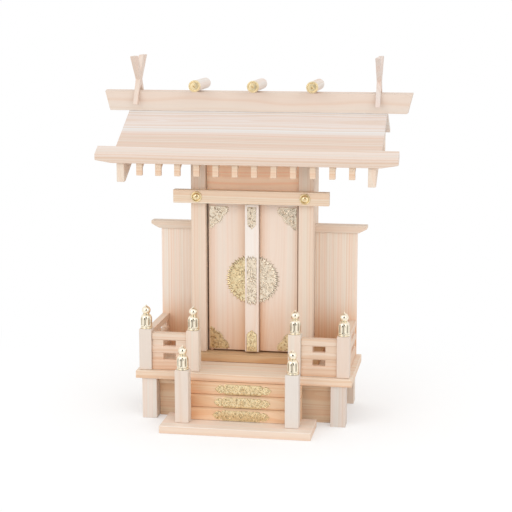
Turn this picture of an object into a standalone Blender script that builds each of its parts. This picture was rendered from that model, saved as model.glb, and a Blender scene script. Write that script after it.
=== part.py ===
"""Household shrine (kamidana) in pale cypress, with turned brass finials and two opening doors.

Metres, +Z up, front towards -Y. Depths along Y are measured from the front face of the pillars,
and the parent empty moves the whole shrine so that its footprint is centred on the origin.
"""

import math

import bmesh
import bpy
from mathutils import Matrix, Vector

# Clearances
JOINT_GAP = 0.0003
DOOR_SIDE_GAP = 0.002
DOOR_END_GAP = 0.002
DOOR_SEAM_GAP = 0.0006
EDGE_SOFTENING = 0.0004
WELD_DISTANCE = 0.00001

# Room
DOORWAY_HALF_WIDTH = 0.0572
DOORWAY_HEIGHT = 0.1876
HEADER_HEIGHT = 0.0546
ROOM_DEPTH = 0.083
PILLAR_SIZE = 0.018
WALL_THICKNESS = 0.006
SIDE_WALL_INSET = 0.004
HEADER_RECESS = 0.007
PLINTH_THICKNESS = 0.009
PLINTH_SIDE_LIP = 0.0088
PLINTH_FRONT_LIP = 0.011
TIE_BEAM_OVERHANG = 0.0199
TIE_BEAM_HEIGHT = 0.0161
TIE_BEAM_THICKNESS = 0.0097

# Doors
DOOR_RECESS = 0.008
DOOR_THICKNESS = 0.006
DOOR_PIVOT_INSET = 0.003
DOOR_PIN_RADIUS = 0.0015
DOOR_PIN_SIDES = 12
BATTEN_WIDTH = 0.0168
BATTEN_THICKNESS = 0.0067

# Deck, its posts and the boards under it
DECK_SIDE_REACH = 0.0553
DECK_FRONT_REACH = 0.067
DECK_THICKNESS = 0.0092
DECK_UNDERSIDE = 0.050
DECK_BEHIND_WING = 0.0016
DECK_POST_SIZE = 0.018
DECK_POST_SIDE_SETBACK = 0.0071
DECK_POST_FRONT_SETBACK = 0.0027
SKIRT_THICKNESS = 0.006
SKIRT_SETBACK = 0.0155
SKIRT_BAND_HEIGHT = 0.009
SKIRT_BAND_PROUD = 0.004

# Stair foot: base board, steps and newels
BASE_THICKNESS = 0.009
BASE_SIDE_LIP = 0.0162
BASE_FRONT_LIP = 0.0147
STEP_COUNT = 3
STEP_TREAD = 0.008
STEP_SIDE_INSET = 0.0012
STEP_UNDER_DECK = 0.001
NEWEL_SIZE = 0.016
NEWEL_HEIGHT = 0.0633
NEWEL_OUTSIDE_STAIR_POST = 0.0037

# Railing
RAIL_POST_SIZE = 0.015
RAIL_POST_HEIGHT = 0.050
RAIL_POST_SETBACK = 0.005
CORNER_POST_SIDE_SETBACK = 0.0035
STAIR_POST_OUTSIDE_DOORWAY = 0.0043
RAIL_THICKNESS = 0.009
RAIL_RECESS = 0.0012
RAIL_HEIGHT = 0.0453
RAIL_BOTTOM_BAND = 0.0124
RAIL_SLOT_HEIGHT = 0.008
RAIL_MIDDLE_BAND = 0.0082
FRONT_SLOT_WIDTH = 0.0154
SIDE_SLOT_WIDTH = 0.034
SIDE_SLOT_COUNT = 2

# Turned finials
FINIAL_RADIUS = 0.0062
FINIAL_FOOT_BAND = 0.0016
FINIAL_BODY_INSET = 0.0005
FINIAL_BODY_HEIGHT = 0.0168
FINIAL_NECK_RADIUS = 0.0026
FINIAL_COLLAR_RADIUS = 0.0036
FINIAL_COLLAR_HEIGHT = 0.0012
FINIAL_BULB_RADIUS = 0.0046
FINIAL_TIP_HEIGHT = 0.0022
FINIAL_STEPS = 16

# Side screens on the deck
WING_SIDE_SETBACK = 0.0063
WING_FRONT_Y = 0.0484
WING_THICKNESS = 0.006
WING_HEIGHT = 0.1555
WING_CAP_OVERHANG = 0.0122
WING_CAP_THICKNESS = 0.0094
WING_CAP_DEPTH = 0.014
WING_CAP_BEVEL = 0.010
WING_CAP_LIP = 0.004

# Roof
ROOF_PITCH = math.radians(29.5)
ROOF_SIDE_REACH = 0.0288
ROOF_BOARD_THICKNESS = 0.005
FRONT_EAVE_REACH = 0.0555
BACK_EAVE_REACH = 0.009
EAVE_OVERHANG = 0.0204
EAVE_WIDTH = 0.0223
EAVE_THICKNESS = 0.0094
EAVE_TAPER_LENGTH = 0.022
EAVE_TAPER_RISE = 0.0025
RAFTER_COUNT = 12
RAFTER_WIDTH = 0.007
RAFTER_DEPTH = 0.009
RAFTER_NOSE_DEPTH = 0.014
RAFTER_NOSE_LENGTH = 0.005
RAFTER_SETBACK = 0.0036
BACK_RAFTER_SETBACK = 0.006
PURLIN_WIDTH = 0.012
PURLIN_DROP = 0.0196
PURLIN_BITE = 0.0041
BARGEBOARD_SETBACK = 0.0054
BARGEBOARD_THICKNESS = 0.009
BARGEBOARD_DEPTH = 0.0242
BARGEBOARD_TIP_CUT = 0.0065

# Ridge
RIDGE_OVERHANG = 0.0307
RIDGE_END_SLANT = 0.0064
RIDGE_WIDTH = 0.019
RIDGE_HEIGHT = 0.0234
RIDGE_CROWN = 0.0017
LOG_COUNT = 3
LOG_SPACING = 0.0716
LOG_RADIUS = 0.0067
LOG_LENGTH = 0.067
LOG_SIDES = 24
CHIGI_FROM_RIDGE_END = 0.0413
CHIGI_THICKNESS = 0.0055
CHIGI_RISE = 0.0438
CHIGI_WAIST_RISE = 0.0145
CHIGI_WAIST_HALF_WIDTH = 0.006
CHIGI_NOTCH_DEPTH = 0.0075
CHIGI_FOOT_DROP = 0.015
CHIGI_FOOT_SPLAY = 0.004
CHIGI_FOOT_WIDTH = 0.008
CHIGI_TOP_INNER = 0.012
CHIGI_TOP_OUTER = 0.032

# Widths from the middle outwards
pillar_outer_x = DOORWAY_HALF_WIDTH + PILLAR_SIZE
side_wall_outer_x = pillar_outer_x - SIDE_WALL_INSET
side_wall_inner_x = side_wall_outer_x - WALL_THICKNESS
plinth_half_width = pillar_outer_x + PLINTH_SIDE_LIP
deck_half_width = pillar_outer_x + DECK_SIDE_REACH
stair_post_x = DOORWAY_HALF_WIDTH + STAIR_POST_OUTSIDE_DOORWAY
newel_x = stair_post_x + NEWEL_OUTSIDE_STAIR_POST
newel_outer_x = newel_x + NEWEL_SIZE / 2
corner_post_x = deck_half_width - CORNER_POST_SIDE_SETBACK - RAIL_POST_SIZE / 2
deck_post_x = deck_half_width - DECK_POST_SIDE_SETBACK - DECK_POST_SIZE / 2
wing_outer_x = deck_half_width - WING_SIDE_SETBACK
roof_half_width = deck_half_width + ROOF_SIDE_REACH
bargeboard_x = roof_half_width - BARGEBOARD_SETBACK - BARGEBOARD_THICKNESS / 2
eave_half_length = roof_half_width + EAVE_OVERHANG
ridge_half_length = roof_half_width + RIDGE_OVERHANG
chigi_x = ridge_half_length - CHIGI_FROM_RIDGE_END
door_pivot_x = DOORWAY_HALF_WIDTH - DOOR_SIDE_GAP - DOOR_PIVOT_INSET

# Depths from the front of the stair to the back of the roof
deck_front = -DECK_FRONT_REACH
step_front = deck_front - STEP_COUNT * STEP_TREAD
newel_back = step_front - JOINT_GAP
base_front = newel_back - NEWEL_SIZE - BASE_FRONT_LIP
base_back = deck_front + STEP_UNDER_DECK
rail_post_front = deck_front + RAIL_POST_SETBACK
rail_y = rail_post_front + RAIL_POST_SIZE / 2
deck_post_front = deck_front + DECK_POST_FRONT_SETBACK
skirt_front = deck_post_front + SKIRT_SETBACK
wing_y = WING_FRONT_Y + WING_THICKNESS / 2
deck_shoulder = WING_FRONT_Y + WING_THICKNESS + DECK_BEHIND_WING
ridge_y = ROOM_DEPTH / 2
purlin_from_ridge = ridge_y - PILLAR_SIZE / 2
door_pivot_y = DOOR_RECESS + DOOR_THICKNESS / 2
roof_back = ROOM_DEPTH + BACK_EAVE_REACH
footprint_centre_y = (base_front + roof_back) / 2

# Heights from the ground up
deck_top = DECK_UNDERSIDE + DECK_THICKNESS
deck_seat = deck_top + JOINT_GAP
plinth_top = deck_seat + PLINTH_THICKNESS
wall_foot = plinth_top + JOINT_GAP
tie_beam_foot = plinth_top + DOORWAY_HEIGHT
wing_top = deck_seat + WING_HEIGHT
wall_top = tie_beam_foot + HEADER_HEIGHT
purlin_foot = wall_top + JOINT_GAP
slope = math.tan(ROOF_PITCH)
rafter_top = ROOF_BOARD_THICKNESS + JOINT_GAP
rafter_bottom = rafter_top + RAFTER_DEPTH
purlin_outer_from_ridge = purlin_from_ridge + PURLIN_WIDTH / 2
roof_apex = (purlin_foot + PURLIN_DROP + purlin_outer_from_ridge * slope
             + rafter_bottom / math.cos(ROOF_PITCH))

SIDES = ((-1, "left"), (1, "right"))


def make_finish(name, colour, roughness, metallic):
    """One Principled material."""
    material = bpy.data.materials.new(name)
    material.use_nodes = True
    shader = material.node_tree.nodes["Principled BSDF"]
    shader.inputs["Base Color"].default_value = (*colour, 1.0)
    shader.inputs["Roughness"].default_value = roughness
    shader.inputs["Metallic"].default_value = metallic
    material.diffuse_color = (*colour, 1.0)
    return material


def adopt(obj, name, parent, finish=None):
    """Name an object, give it its own material and parent, and put it among the shrine's pieces."""
    finish = finish or ((0.85, 0.69, 0.53), 0.55, 0.0)
    obj.name = name
    obj.data.name = name
    obj.data.materials.clear()
    obj.data.materials.append(make_finish(name, *finish))
    obj.parent = parent
    for collection in list(obj.users_collection):
        collection.objects.unlink(obj)
    pieces.objects.link(obj)
    return obj


def soften_edges(obj):
    """Take the sharp arris off a sawn piece."""
    bevel = obj.modifiers.new("arris", "BEVEL")
    bevel.width = EDGE_SOFTENING
    bevel.segments = 1
    bevel.limit_method = "ANGLE"
    return obj


def sharpen_edges(obj):
    """Leave the edges of a plate as sawn."""
    obj.modifiers.remove(obj.modifiers["arris"])
    return obj


def block(name, x_span, y_span, z_span, parent):
    """A sharp-edged rectangular piece between two values along each axis of its parent."""
    spans = (x_span, y_span, z_span)
    middle = Vector([(low + high) / 2 for low, high in spans])
    size = Vector([high - low for low, high in spans])
    bpy.ops.mesh.primitive_cube_add(size=1.0, location=middle)
    obj = bpy.context.object
    obj.data.transform(Matrix.Diagonal((*size, 1.0)))
    return adopt(obj, name, parent)


def board(name, x_span, y_span, z_span, parent):
    """A block with its edges softened."""
    return soften_edges(block(name, x_span, y_span, z_span, parent))


def post(name, x, y_span, z_span, size, parent):
    """A square post, given by its middle across the width."""
    return board(name, (x - size / 2, x + size / 2), y_span, z_span, parent)


def plate(name, points, thickness, location, rotation, parent, holes=()):
    """A flat outline with its holes, as a filled 2D curve of the given thickness."""
    curve = bpy.data.curves.new(name, "CURVE")
    curve.dimensions = "2D"
    curve.fill_mode = "BOTH"
    curve.extrude = thickness / 2
    for loop in (points, *holes):
        spline = curve.splines.new("POLY")
        spline.points.add(len(loop) - 1)
        for corner, (u, v) in zip(spline.points, loop):
            corner.co = (u, v, 0.0, 1.0)
        spline.use_cyclic_u = True
    obj = adopt(bpy.data.objects.new(name, curve), name, parent)
    obj.location = location
    obj.rotation_euler = rotation
    weld = obj.modifiers.new("weld", "WELD")
    weld.merge_threshold = WELD_DISTANCE
    return soften_edges(obj)


def gable_plate(name, points, x, thickness, parent, holes=()):
    """A plate with its outline in depth and height, extruded across the width."""
    return plate(name, points, thickness, (x, 0.0, 0.0), (math.pi / 2, 0.0, math.pi / 2),
                 parent, holes)


def front_plate(name, points, y, thickness, parent, holes=()):
    """A plate with its outline in width and height, extruded along the depth."""
    return plate(name, points, thickness, (0.0, y, 0.0), (math.pi / 2, 0.0, 0.0), parent, holes)


def rectangle(u_low, u_high, v_low, v_high):
    """The four corners of a rectangle."""
    return [(u_low, v_low), (u_high, v_low), (u_high, v_high), (u_low, v_high)]


def mirrored(side, points):
    """An outline of the right side, turned over for the left one."""
    return [(side * u, v) for u, v in points]


def as_cutter(obj):
    """Move a helper solid among the cutters and hide it."""
    for collection in list(obj.users_collection):
        collection.objects.unlink(obj)
    cutters.objects.link(obj)
    obj.hide_render = True
    obj.display_type = "WIRE"
    return obj


def meshed(obj):
    """Turn a plate into a welded mesh, so that it can be cut or joined."""
    bpy.context.view_layer.update()
    evaluated = obj.evaluated_get(bpy.context.evaluated_depsgraph_get())
    mesh = bpy.data.meshes.new_from_object(evaluated)
    work = bmesh.new()
    work.from_mesh(mesh)
    bmesh.ops.remove_doubles(work, verts=work.verts, dist=WELD_DISTANCE)
    work.to_mesh(mesh)
    work.free()
    name, parent, place = obj.name, obj.parent, obj.matrix_basis.copy()
    bpy.data.objects.remove(obj)
    solid = adopt(bpy.data.objects.new(name, mesh), name, parent)
    solid.matrix_basis = place
    return solid


def plate_as_cutter(obj):
    """Turn a plate into a hidden helper that cuts or joins."""
    return as_cutter(meshed(obj))


def combine(obj, helper, operation):
    """Join or cut an object with a hidden helper."""
    boolean = obj.modifiers.new(operation.lower(), "BOOLEAN")
    boolean.operation = operation
    boolean.object = helper
    boolean.solver = "EXACT"


def roof_height(y, depth_below=0.0):
    """Height of the plane that lies a distance below the roof's top face, at depth y."""
    return roof_apex - abs(ridge_y - y) * slope - depth_below / math.cos(ROOF_PITCH)


def slope_point(along, above, side):
    """Depth and height of a point down the slope from the apex; side is -1 in front, +1 behind."""
    y = ridge_y + side * (along * math.cos(ROOF_PITCH) + above * math.sin(ROOF_PITCH))
    z = roof_apex - along * math.sin(ROOF_PITCH) + above * math.cos(ROOF_PITCH)
    return y, z


def arc(radius, middle, start, end, count):
    """Radius and height of points on part of a circle round (0, middle), by angles in degrees."""
    turns = [math.radians(start + (end - start) * i / (count - 1)) for i in range(count)]
    return [(radius * math.cos(turn), middle + radius * math.sin(turn)) for turn in turns]


def finial_profile():
    """Radius and height along a finial, from its tip down its outer side to its foot."""
    body_radius = FINIAL_RADIUS - FINIAL_BODY_INSET
    shoulder = body_radius - FINIAL_NECK_RADIUS
    collar_foot = FINIAL_BODY_HEIGHT + FINIAL_COLLAR_HEIGHT / 2
    collar_top = collar_foot + FINIAL_COLLAR_HEIGHT
    bulb_middle = collar_top + FINIAL_BULB_RADIUS * 0.8
    tip = bulb_middle + FINIAL_BULB_RADIUS + FINIAL_TIP_HEIGHT
    profile = [(0.0, tip), (FINIAL_BULB_RADIUS * 0.22, tip - FINIAL_TIP_HEIGHT * 0.8)]
    profile += arc(FINIAL_BULB_RADIUS, bulb_middle, 52, -48, 6)
    profile += [(FINIAL_COLLAR_RADIUS, collar_top), (FINIAL_COLLAR_RADIUS, collar_foot),
                (FINIAL_NECK_RADIUS, FINIAL_BODY_HEIGHT)]
    for radius, height in arc(shoulder, FINIAL_BODY_HEIGHT - shoulder, 72, 0, 4):
        profile.append((radius + FINIAL_NECK_RADIUS, height))
    profile += [(body_radius, FINIAL_FOOT_BAND), (FINIAL_RADIUS, FINIAL_FOOT_BAND),
                (FINIAL_RADIUS, 0.0), (0.0, 0.0)]
    return profile


def build_finial(name, x, y, foot, parent):
    """Onion finial in gilt brass: its profile turned about its own axis."""
    mesh = bpy.data.meshes.new(name)
    rings = finial_profile()
    mesh.from_pydata([(radius, 0.0, height) for radius, height in rings],
                     [(i, i + 1) for i in range(len(rings) - 1)], [])
    obj = adopt(bpy.data.objects.new(name, mesh), name, parent, ((0.83, 0.64, 0.27), 0.25, 1.0))
    obj.location = (x, y, foot)
    screw = obj.modifiers.new("turning", "SCREW")
    screw.steps = screw.render_steps = FINIAL_STEPS
    screw.use_merge_vertices = True
    screw.merge_threshold = WELD_DISTANCE
    return obj


def build_stair(root):
    """Base board on the ground, three step bars stacked on it, and the two newels."""
    base_half = newel_outer_x + BASE_SIDE_LIP
    step_half = newel_outer_x - STEP_SIDE_INSET
    board("base_board", (-base_half, base_half), (base_front, base_back),
          (0.0, BASE_THICKNESS), root)
    rise = (DECK_UNDERSIDE - BASE_THICKNESS - JOINT_GAP) / STEP_COUNT
    for index, level in enumerate(("lower", "middle", "upper")):
        foot = BASE_THICKNESS + index * rise + JOINT_GAP
        board("step_" + level, (-step_half, step_half), (step_front + index * STEP_TREAD, base_back),
              (foot, foot + rise - JOINT_GAP), root)
    foot = BASE_THICKNESS + JOINT_GAP
    for side, label in SIDES:
        post("newel_" + label, side * newel_x, (newel_back - NEWEL_SIZE, newel_back),
             (foot, foot + NEWEL_HEIGHT), NEWEL_SIZE, root)
        build_finial("newel_finial_" + label, side * newel_x, newel_back - NEWEL_SIZE / 2,
                     foot + NEWEL_HEIGHT + JOINT_GAP, root)


def build_deck(root):
    """Deck with a narrower tail under the back of the room, its posts, skirt and bearer boards."""
    right_half = [(deck_half_width, deck_front), (deck_half_width, deck_shoulder),
                  (plinth_half_width, deck_shoulder), (plinth_half_width, ROOM_DEPTH)]
    plan = right_half + mirrored(-1, reversed(right_half))
    plate("deck", plan, DECK_THICKNESS, (0.0, 0.0, deck_top - DECK_THICKNESS / 2), (0.0, 0.0, 0.0),
          root)
    under = (0.0, DECK_UNDERSIDE - JOINT_GAP)
    rear_post_back = deck_shoulder - DECK_POST_FRONT_SETBACK
    for side, label in SIDES:
        post("deck_post_front_" + label, side * deck_post_x,
             (deck_post_front, deck_post_front + DECK_POST_SIZE), under, DECK_POST_SIZE, root)
        post("deck_post_rear_" + label, side * deck_post_x,
             (rear_post_back - DECK_POST_SIZE, rear_post_back), under, DECK_POST_SIZE, root)
        across = sorted((side * side_wall_inner_x, side * side_wall_outer_x))
        board("bearer_" + label, across, (skirt_front + SKIRT_THICKNESS + JOINT_GAP, ROOM_DEPTH),
              under, root)
    between = side_wall_inner_x - JOINT_GAP
    board("bearer_back", (-between, between), (ROOM_DEPTH - WALL_THICKNESS, ROOM_DEPTH), under, root)
    build_skirt(under[1], root)


def build_skirt(top, root):
    """Front board under the deck, with a thicker band along its head, between the front posts."""
    length = 2 * (deck_post_x - DECK_POST_SIZE / 2 - JOINT_GAP)
    back = skirt_front + SKIRT_THICKNESS
    band_front = skirt_front - SKIRT_BAND_PROUD
    section = [(skirt_front, 0.0), (back, 0.0), (back, top), (band_front, top),
               (band_front, top - SKIRT_BAND_HEIGHT), (skirt_front, top - SKIRT_BAND_HEIGHT)]
    gable_plate("skirt_front", section, 0.0, length, root)


def rail_section(middle):
    """Outline across a railing: three proud rails with sloped shoulders, and two thinner rows."""
    proud, thin = RAIL_THICKNESS / 2, RAIL_THICKNESS / 2 - RAIL_RECESS
    first_row = deck_seat + RAIL_BOTTOM_BAND
    second_row = first_row + RAIL_SLOT_HEIGHT + RAIL_MIDDLE_BAND
    half = [(proud, deck_seat)]
    for row in (first_row, second_row):
        end = row + RAIL_SLOT_HEIGHT
        half += [(proud, row - RAIL_RECESS), (thin, row), (thin, end), (proud, end + RAIL_RECESS)]
    half.append((proud, deck_seat + RAIL_HEIGHT))
    return [(middle + u, v) for u, v in half + mirrored(-1, reversed(half))]


def cut_slots(railing, low, high, slot_width, slot_count, along_x):
    """Cut a slot through each thin row, spread evenly between the two ends of a railing."""
    solid = (high - low - slot_count * slot_width) / (slot_count + 1)
    first_row = deck_seat + RAIL_BOTTOM_BAND
    second_row = first_row + RAIL_SLOT_HEIGHT + RAIL_MIDDLE_BAND
    for column in range(slot_count):
        start = low + solid + column * (slot_width + solid)
        for row in (first_row, second_row):
            name = "{}_slot_{:.0f}_{:.0f}".format(railing.name, start * 1000, row * 1000)
            length = (start, start + slot_width)
            height = (row + JOINT_GAP, row + RAIL_SLOT_HEIGHT - JOINT_GAP)
            middle = rail_y if along_x else math.copysign(corner_post_x, railing.location.x)
            width = (middle - RAIL_THICKNESS, middle + RAIL_THICKNESS)
            spans = (length, width) if along_x else (width, length)
            combine(railing, as_cutter(block(name, *spans, height, railing.parent)), "DIFFERENCE")
    soften_edges(railing)


def build_railings(root):
    """Four railing posts with finials, and the slotted railings between them and the screens."""
    post_top = deck_seat + RAIL_POST_HEIGHT
    half_post = RAIL_POST_SIZE / 2
    near = rail_post_front + RAIL_POST_SIZE + JOINT_GAP
    far = WING_FRONT_Y - JOINT_GAP
    for side, label in SIDES:
        for kind, x in (("corner_post", corner_post_x), ("stair_post", stair_post_x)):
            post(kind + "_" + label, side * x, (rail_post_front, rail_post_front + RAIL_POST_SIZE),
                 (deck_seat, post_top), RAIL_POST_SIZE, root)
            build_finial(kind + "_finial_" + label, side * x, rail_y, post_top + JOINT_GAP, root)
        low, high = sorted((side * (stair_post_x + half_post + JOINT_GAP),
                            side * (corner_post_x - half_post - JOINT_GAP)))
        front = meshed(sharpen_edges(gable_plate("railing_front_" + label, rail_section(rail_y),
                                                 (low + high) / 2, high - low, root)))
        cut_slots(front, low, high, FRONT_SLOT_WIDTH, 1, True)
        flank = meshed(sharpen_edges(front_plate("railing_side_" + label, rail_section(0.0),
                                                 (near + far) / 2, far - near, root)))
        flank.location.x = side * corner_post_x
        cut_slots(flank, near, far, SIDE_SLOT_WIDTH, SIDE_SLOT_COUNT, False)


def build_room(root):
    """Plinth that is also the floor, pillars, side walls with gable tops, back wall and header."""
    board("plinth", (-plinth_half_width, plinth_half_width), (-PLINTH_FRONT_LIP, ROOM_DEPTH),
          (deck_seat, plinth_top), root)
    wall_front = PILLAR_SIZE + JOINT_GAP
    wall_back = ROOM_DEPTH - WALL_THICKNESS - JOINT_GAP
    purlin_front = ridge_y + purlin_from_ridge - PURLIN_WIDTH / 2 - JOINT_GAP
    under_rafters = rafter_bottom + JOINT_GAP
    gable = [(wall_front, wall_foot), (wall_back, wall_foot), (wall_back, wall_top),
             (purlin_front, wall_top), (purlin_front, roof_height(purlin_front, under_rafters)),
             (ridge_y, roof_height(ridge_y, under_rafters)),
             (wall_front, roof_height(wall_front, under_rafters))]
    pillar_x = DOORWAY_HALF_WIDTH + PILLAR_SIZE / 2
    side_wall_x = (side_wall_inner_x + side_wall_outer_x) / 2
    for side, label in SIDES:
        post("pillar_" + label, side * pillar_x, (0.0, PILLAR_SIZE), (wall_foot, wall_top),
             PILLAR_SIZE, root)
        gable_plate("side_wall_" + label, gable, side * side_wall_x, WALL_THICKNESS, root)
    board("back_wall", (-side_wall_outer_x, side_wall_outer_x),
          (ROOM_DEPTH - WALL_THICKNESS, ROOM_DEPTH), (wall_foot, wall_top), root)
    header_half = DOORWAY_HALF_WIDTH - JOINT_GAP
    board("header_panel", (-header_half, header_half),
          (HEADER_RECESS, HEADER_RECESS + WALL_THICKNESS), (tie_beam_foot, wall_top), root)
    beam_half = pillar_outer_x + TIE_BEAM_OVERHANG
    board("tie_beam", (-beam_half, beam_half), (-JOINT_GAP - TIE_BEAM_THICKNESS, -JOINT_GAP),
          (tie_beam_foot, tie_beam_foot + TIE_BEAM_HEIGHT), root)


def build_doors(root):
    """Two leaves on pivot pins at the pillars; the batten that hides the seam is on the left one."""
    foot = plinth_top + DOOR_END_GAP
    head = tie_beam_foot - DOOR_END_GAP
    through = (-DOOR_THICKNESS / 2, DOOR_THICKNESS / 2)
    seam_x = BATTEN_WIDTH / 2
    left_edge = seam_x - DOOR_SEAM_GAP / 2 + door_pivot_x
    right_edge = seam_x + DOOR_SEAM_GAP / 2 - door_pivot_x
    spans = {"left": (-DOOR_PIVOT_INSET, left_edge), "right": (right_edge, DOOR_PIVOT_INSET)}
    hinges = {}
    for side, label in SIDES:
        hinge = bpy.data.objects.new(label + "_door_hinge", None)
        hinge.location = (side * door_pivot_x, door_pivot_y, 0.0)
        hinge.parent = root
        pieces.objects.link(hinge)
        hinges[label] = hinge
        leaf = board("door_" + label, spans[label], through, (foot, head), hinge)
        bpy.ops.mesh.primitive_cylinder_add(
            vertices=DOOR_PIN_SIDES, radius=DOOR_PIN_RADIUS,
            depth=head - foot + 2 * (DOOR_END_GAP - JOINT_GAP),
            location=(0.0, 0.0, (foot + head) / 2))
        pin = adopt(bpy.context.object, "door_pin_" + label, hinge)
        combine(leaf, as_cutter(pin), "UNION")
    batten_back = through[0] - JOINT_GAP
    board("door_batten", (left_edge - BATTEN_WIDTH, left_edge),
          (batten_back - BATTEN_THICKNESS, batten_back), (foot, head), hinges["left"])


def build_wings(root):
    """Side screens on the deck, each notched round the plinth, with a cap board on top."""
    notch_x = plinth_half_width + JOINT_GAP
    inner = side_wall_outer_x + JOINT_GAP
    cap_outer = wing_outer_x + WING_CAP_OVERHANG
    cap_foot = wing_top + JOINT_GAP
    cap_top = cap_foot + WING_CAP_THICKNESS
    screen = [(notch_x, deck_seat), (wing_outer_x, deck_seat), (wing_outer_x, wing_top),
              (inner, wing_top), (inner, wall_foot), (notch_x, wall_foot)]
    cap = [(inner, cap_foot), (cap_outer - WING_CAP_BEVEL, cap_foot),
           (cap_outer, cap_top - WING_CAP_LIP), (cap_outer, cap_top), (inner, cap_top)]
    for side, label in SIDES:
        front_plate("wing_" + label, mirrored(side, screen), wing_y, WING_THICKNESS, root)
        front_plate("wing_cap_" + label, mirrored(side, cap), wing_y, WING_CAP_DEPTH, root)


def build_roof(root):
    """Roof boards meeting at a plumb joint, with the eave plank, rafters and bargeboards."""
    sine, cosine = math.sin(ROOF_PITCH), math.cos(ROOF_PITCH)
    plank_end = (ridge_y + FRONT_EAVE_REACH + ROOF_BOARD_THICKNESS * sine) / cosine
    front_length = plank_end - EAVE_WIDTH - JOINT_GAP
    back_length = (roof_back - ridge_y) / cosine
    for name, side, length in (("roof_front", -1, front_length), ("roof_back", 1, back_length)):
        joint_y = ridge_y + side * JOINT_GAP / 2
        section = [(joint_y, roof_height(joint_y)), slope_point(length, 0.0, side),
                   slope_point(length, -ROOF_BOARD_THICKNESS, side),
                   (joint_y, roof_height(joint_y, ROOF_BOARD_THICKNESS))]
        gable_plate(name, section, 0.0, 2 * roof_half_width, root)
    build_eave_plank(front_length + JOINT_GAP, root)
    tail_front = -FRONT_EAVE_REACH + RAFTER_SETBACK
    tail_back = roof_back - BACK_RAFTER_SETBACK
    build_rafters("rafters_front", tail_front, -1, root)
    build_rafters("rafters_back", tail_back, 1, root)
    build_bargeboards(tail_front, tail_back, root)


def build_eave_plank(start_along, root):
    """Plank along the front eave with a plumb front, its ends tapered from below."""
    bottom, top = -ROOF_BOARD_THICKNESS, EAVE_THICKNESS - ROOF_BOARD_THICKNESS
    back_low, back_high = slope_point(start_along, bottom, -1), slope_point(start_along, top, -1)
    front_y = slope_point(start_along + EAVE_WIDTH, bottom, -1)[0]
    front_low = roof_height(front_y, -bottom)
    front_high = roof_height(front_y, -top)
    plank = block("eave_plank", (-eave_half_length, eave_half_length), (front_y, back_low[0]),
                  (front_low, back_high[1]), root)
    section = [(front_y, front_low), back_low, back_high, (front_y, front_high)]
    reach = 3 * eave_half_length
    combine(plank, plate_as_cutter(gable_plate("eave_section", section, 0.0, reach, root)), "INTERSECT")
    for side, label in SIDES:
        taper = [(side * (eave_half_length - EAVE_TAPER_LENGTH), front_low),
                 (side * reach, front_low + EAVE_TAPER_RISE * reach / EAVE_TAPER_LENGTH),
                 (side * reach, front_low - EAVE_WIDTH)]
        combine(plank, plate_as_cutter(front_plate("eave_taper_" + label, taper, front_y, EAVE_WIDTH,
                                                   root)), "DIFFERENCE")
    soften_edges(plank)


def build_bargeboards(tail_front, tail_back, root):
    """Bent boards under the verges, from the front eave over the ridge line to the back."""
    lower = rafter_top + BARGEBOARD_DEPTH
    tip_front = roof_height(tail_front + BARGEBOARD_TIP_CUT, lower)
    tip_back = roof_height(tail_back - BARGEBOARD_TIP_CUT, lower)
    verge = [(tail_front, tip_front), (tail_front + BARGEBOARD_TIP_CUT, tip_front),
             (ridge_y, roof_height(ridge_y, lower)),
             (tail_back - BARGEBOARD_TIP_CUT, tip_back), (tail_back, tip_back)]
    verge += [(y, roof_height(y, rafter_top)) for y in (tail_back, ridge_y, tail_front)]
    for side, label in SIDES:
        gable_plate("bargeboard_" + label, verge, side * bargeboard_x, BARGEBOARD_THICKNESS, root)


def build_rafters(name, tail_y, side, root):
    """A comb of rafters under one slope, joined by the purlin that carries them."""
    head_y = ridge_y + side * JOINT_GAP / 2
    nose_y = tail_y - side * RAFTER_NOSE_LENGTH
    nose_foot = roof_height(tail_y, rafter_top + RAFTER_NOSE_DEPTH)
    section = [(tail_y, roof_height(tail_y, rafter_top)), (tail_y, nose_foot), (nose_y, nose_foot),
               (nose_y, roof_height(nose_y, rafter_bottom)), (head_y, roof_height(head_y, rafter_bottom)),
               (head_y, roof_height(head_y, rafter_top))]
    purlin_y = ridge_y + side * purlin_from_ridge
    reach = bargeboard_x - BARGEBOARD_THICKNESS / 2 - JOINT_GAP
    purlin = board(name, (-reach, reach), (purlin_y - PURLIN_WIDTH / 2, purlin_y + PURLIN_WIDTH / 2),
                   (purlin_foot, purlin_foot + PURLIN_DROP + PURLIN_BITE), root)
    pitch = 2 * bargeboard_x / (RAFTER_COUNT + 1)
    for index in range(RAFTER_COUNT):
        x = (index - (RAFTER_COUNT - 1) / 2) * pitch
        rafter = gable_plate("{}_{:02d}".format(name, index + 1), section, x, RAFTER_WIDTH, root)
        combine(purlin, plate_as_cutter(rafter), "UNION")


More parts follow.
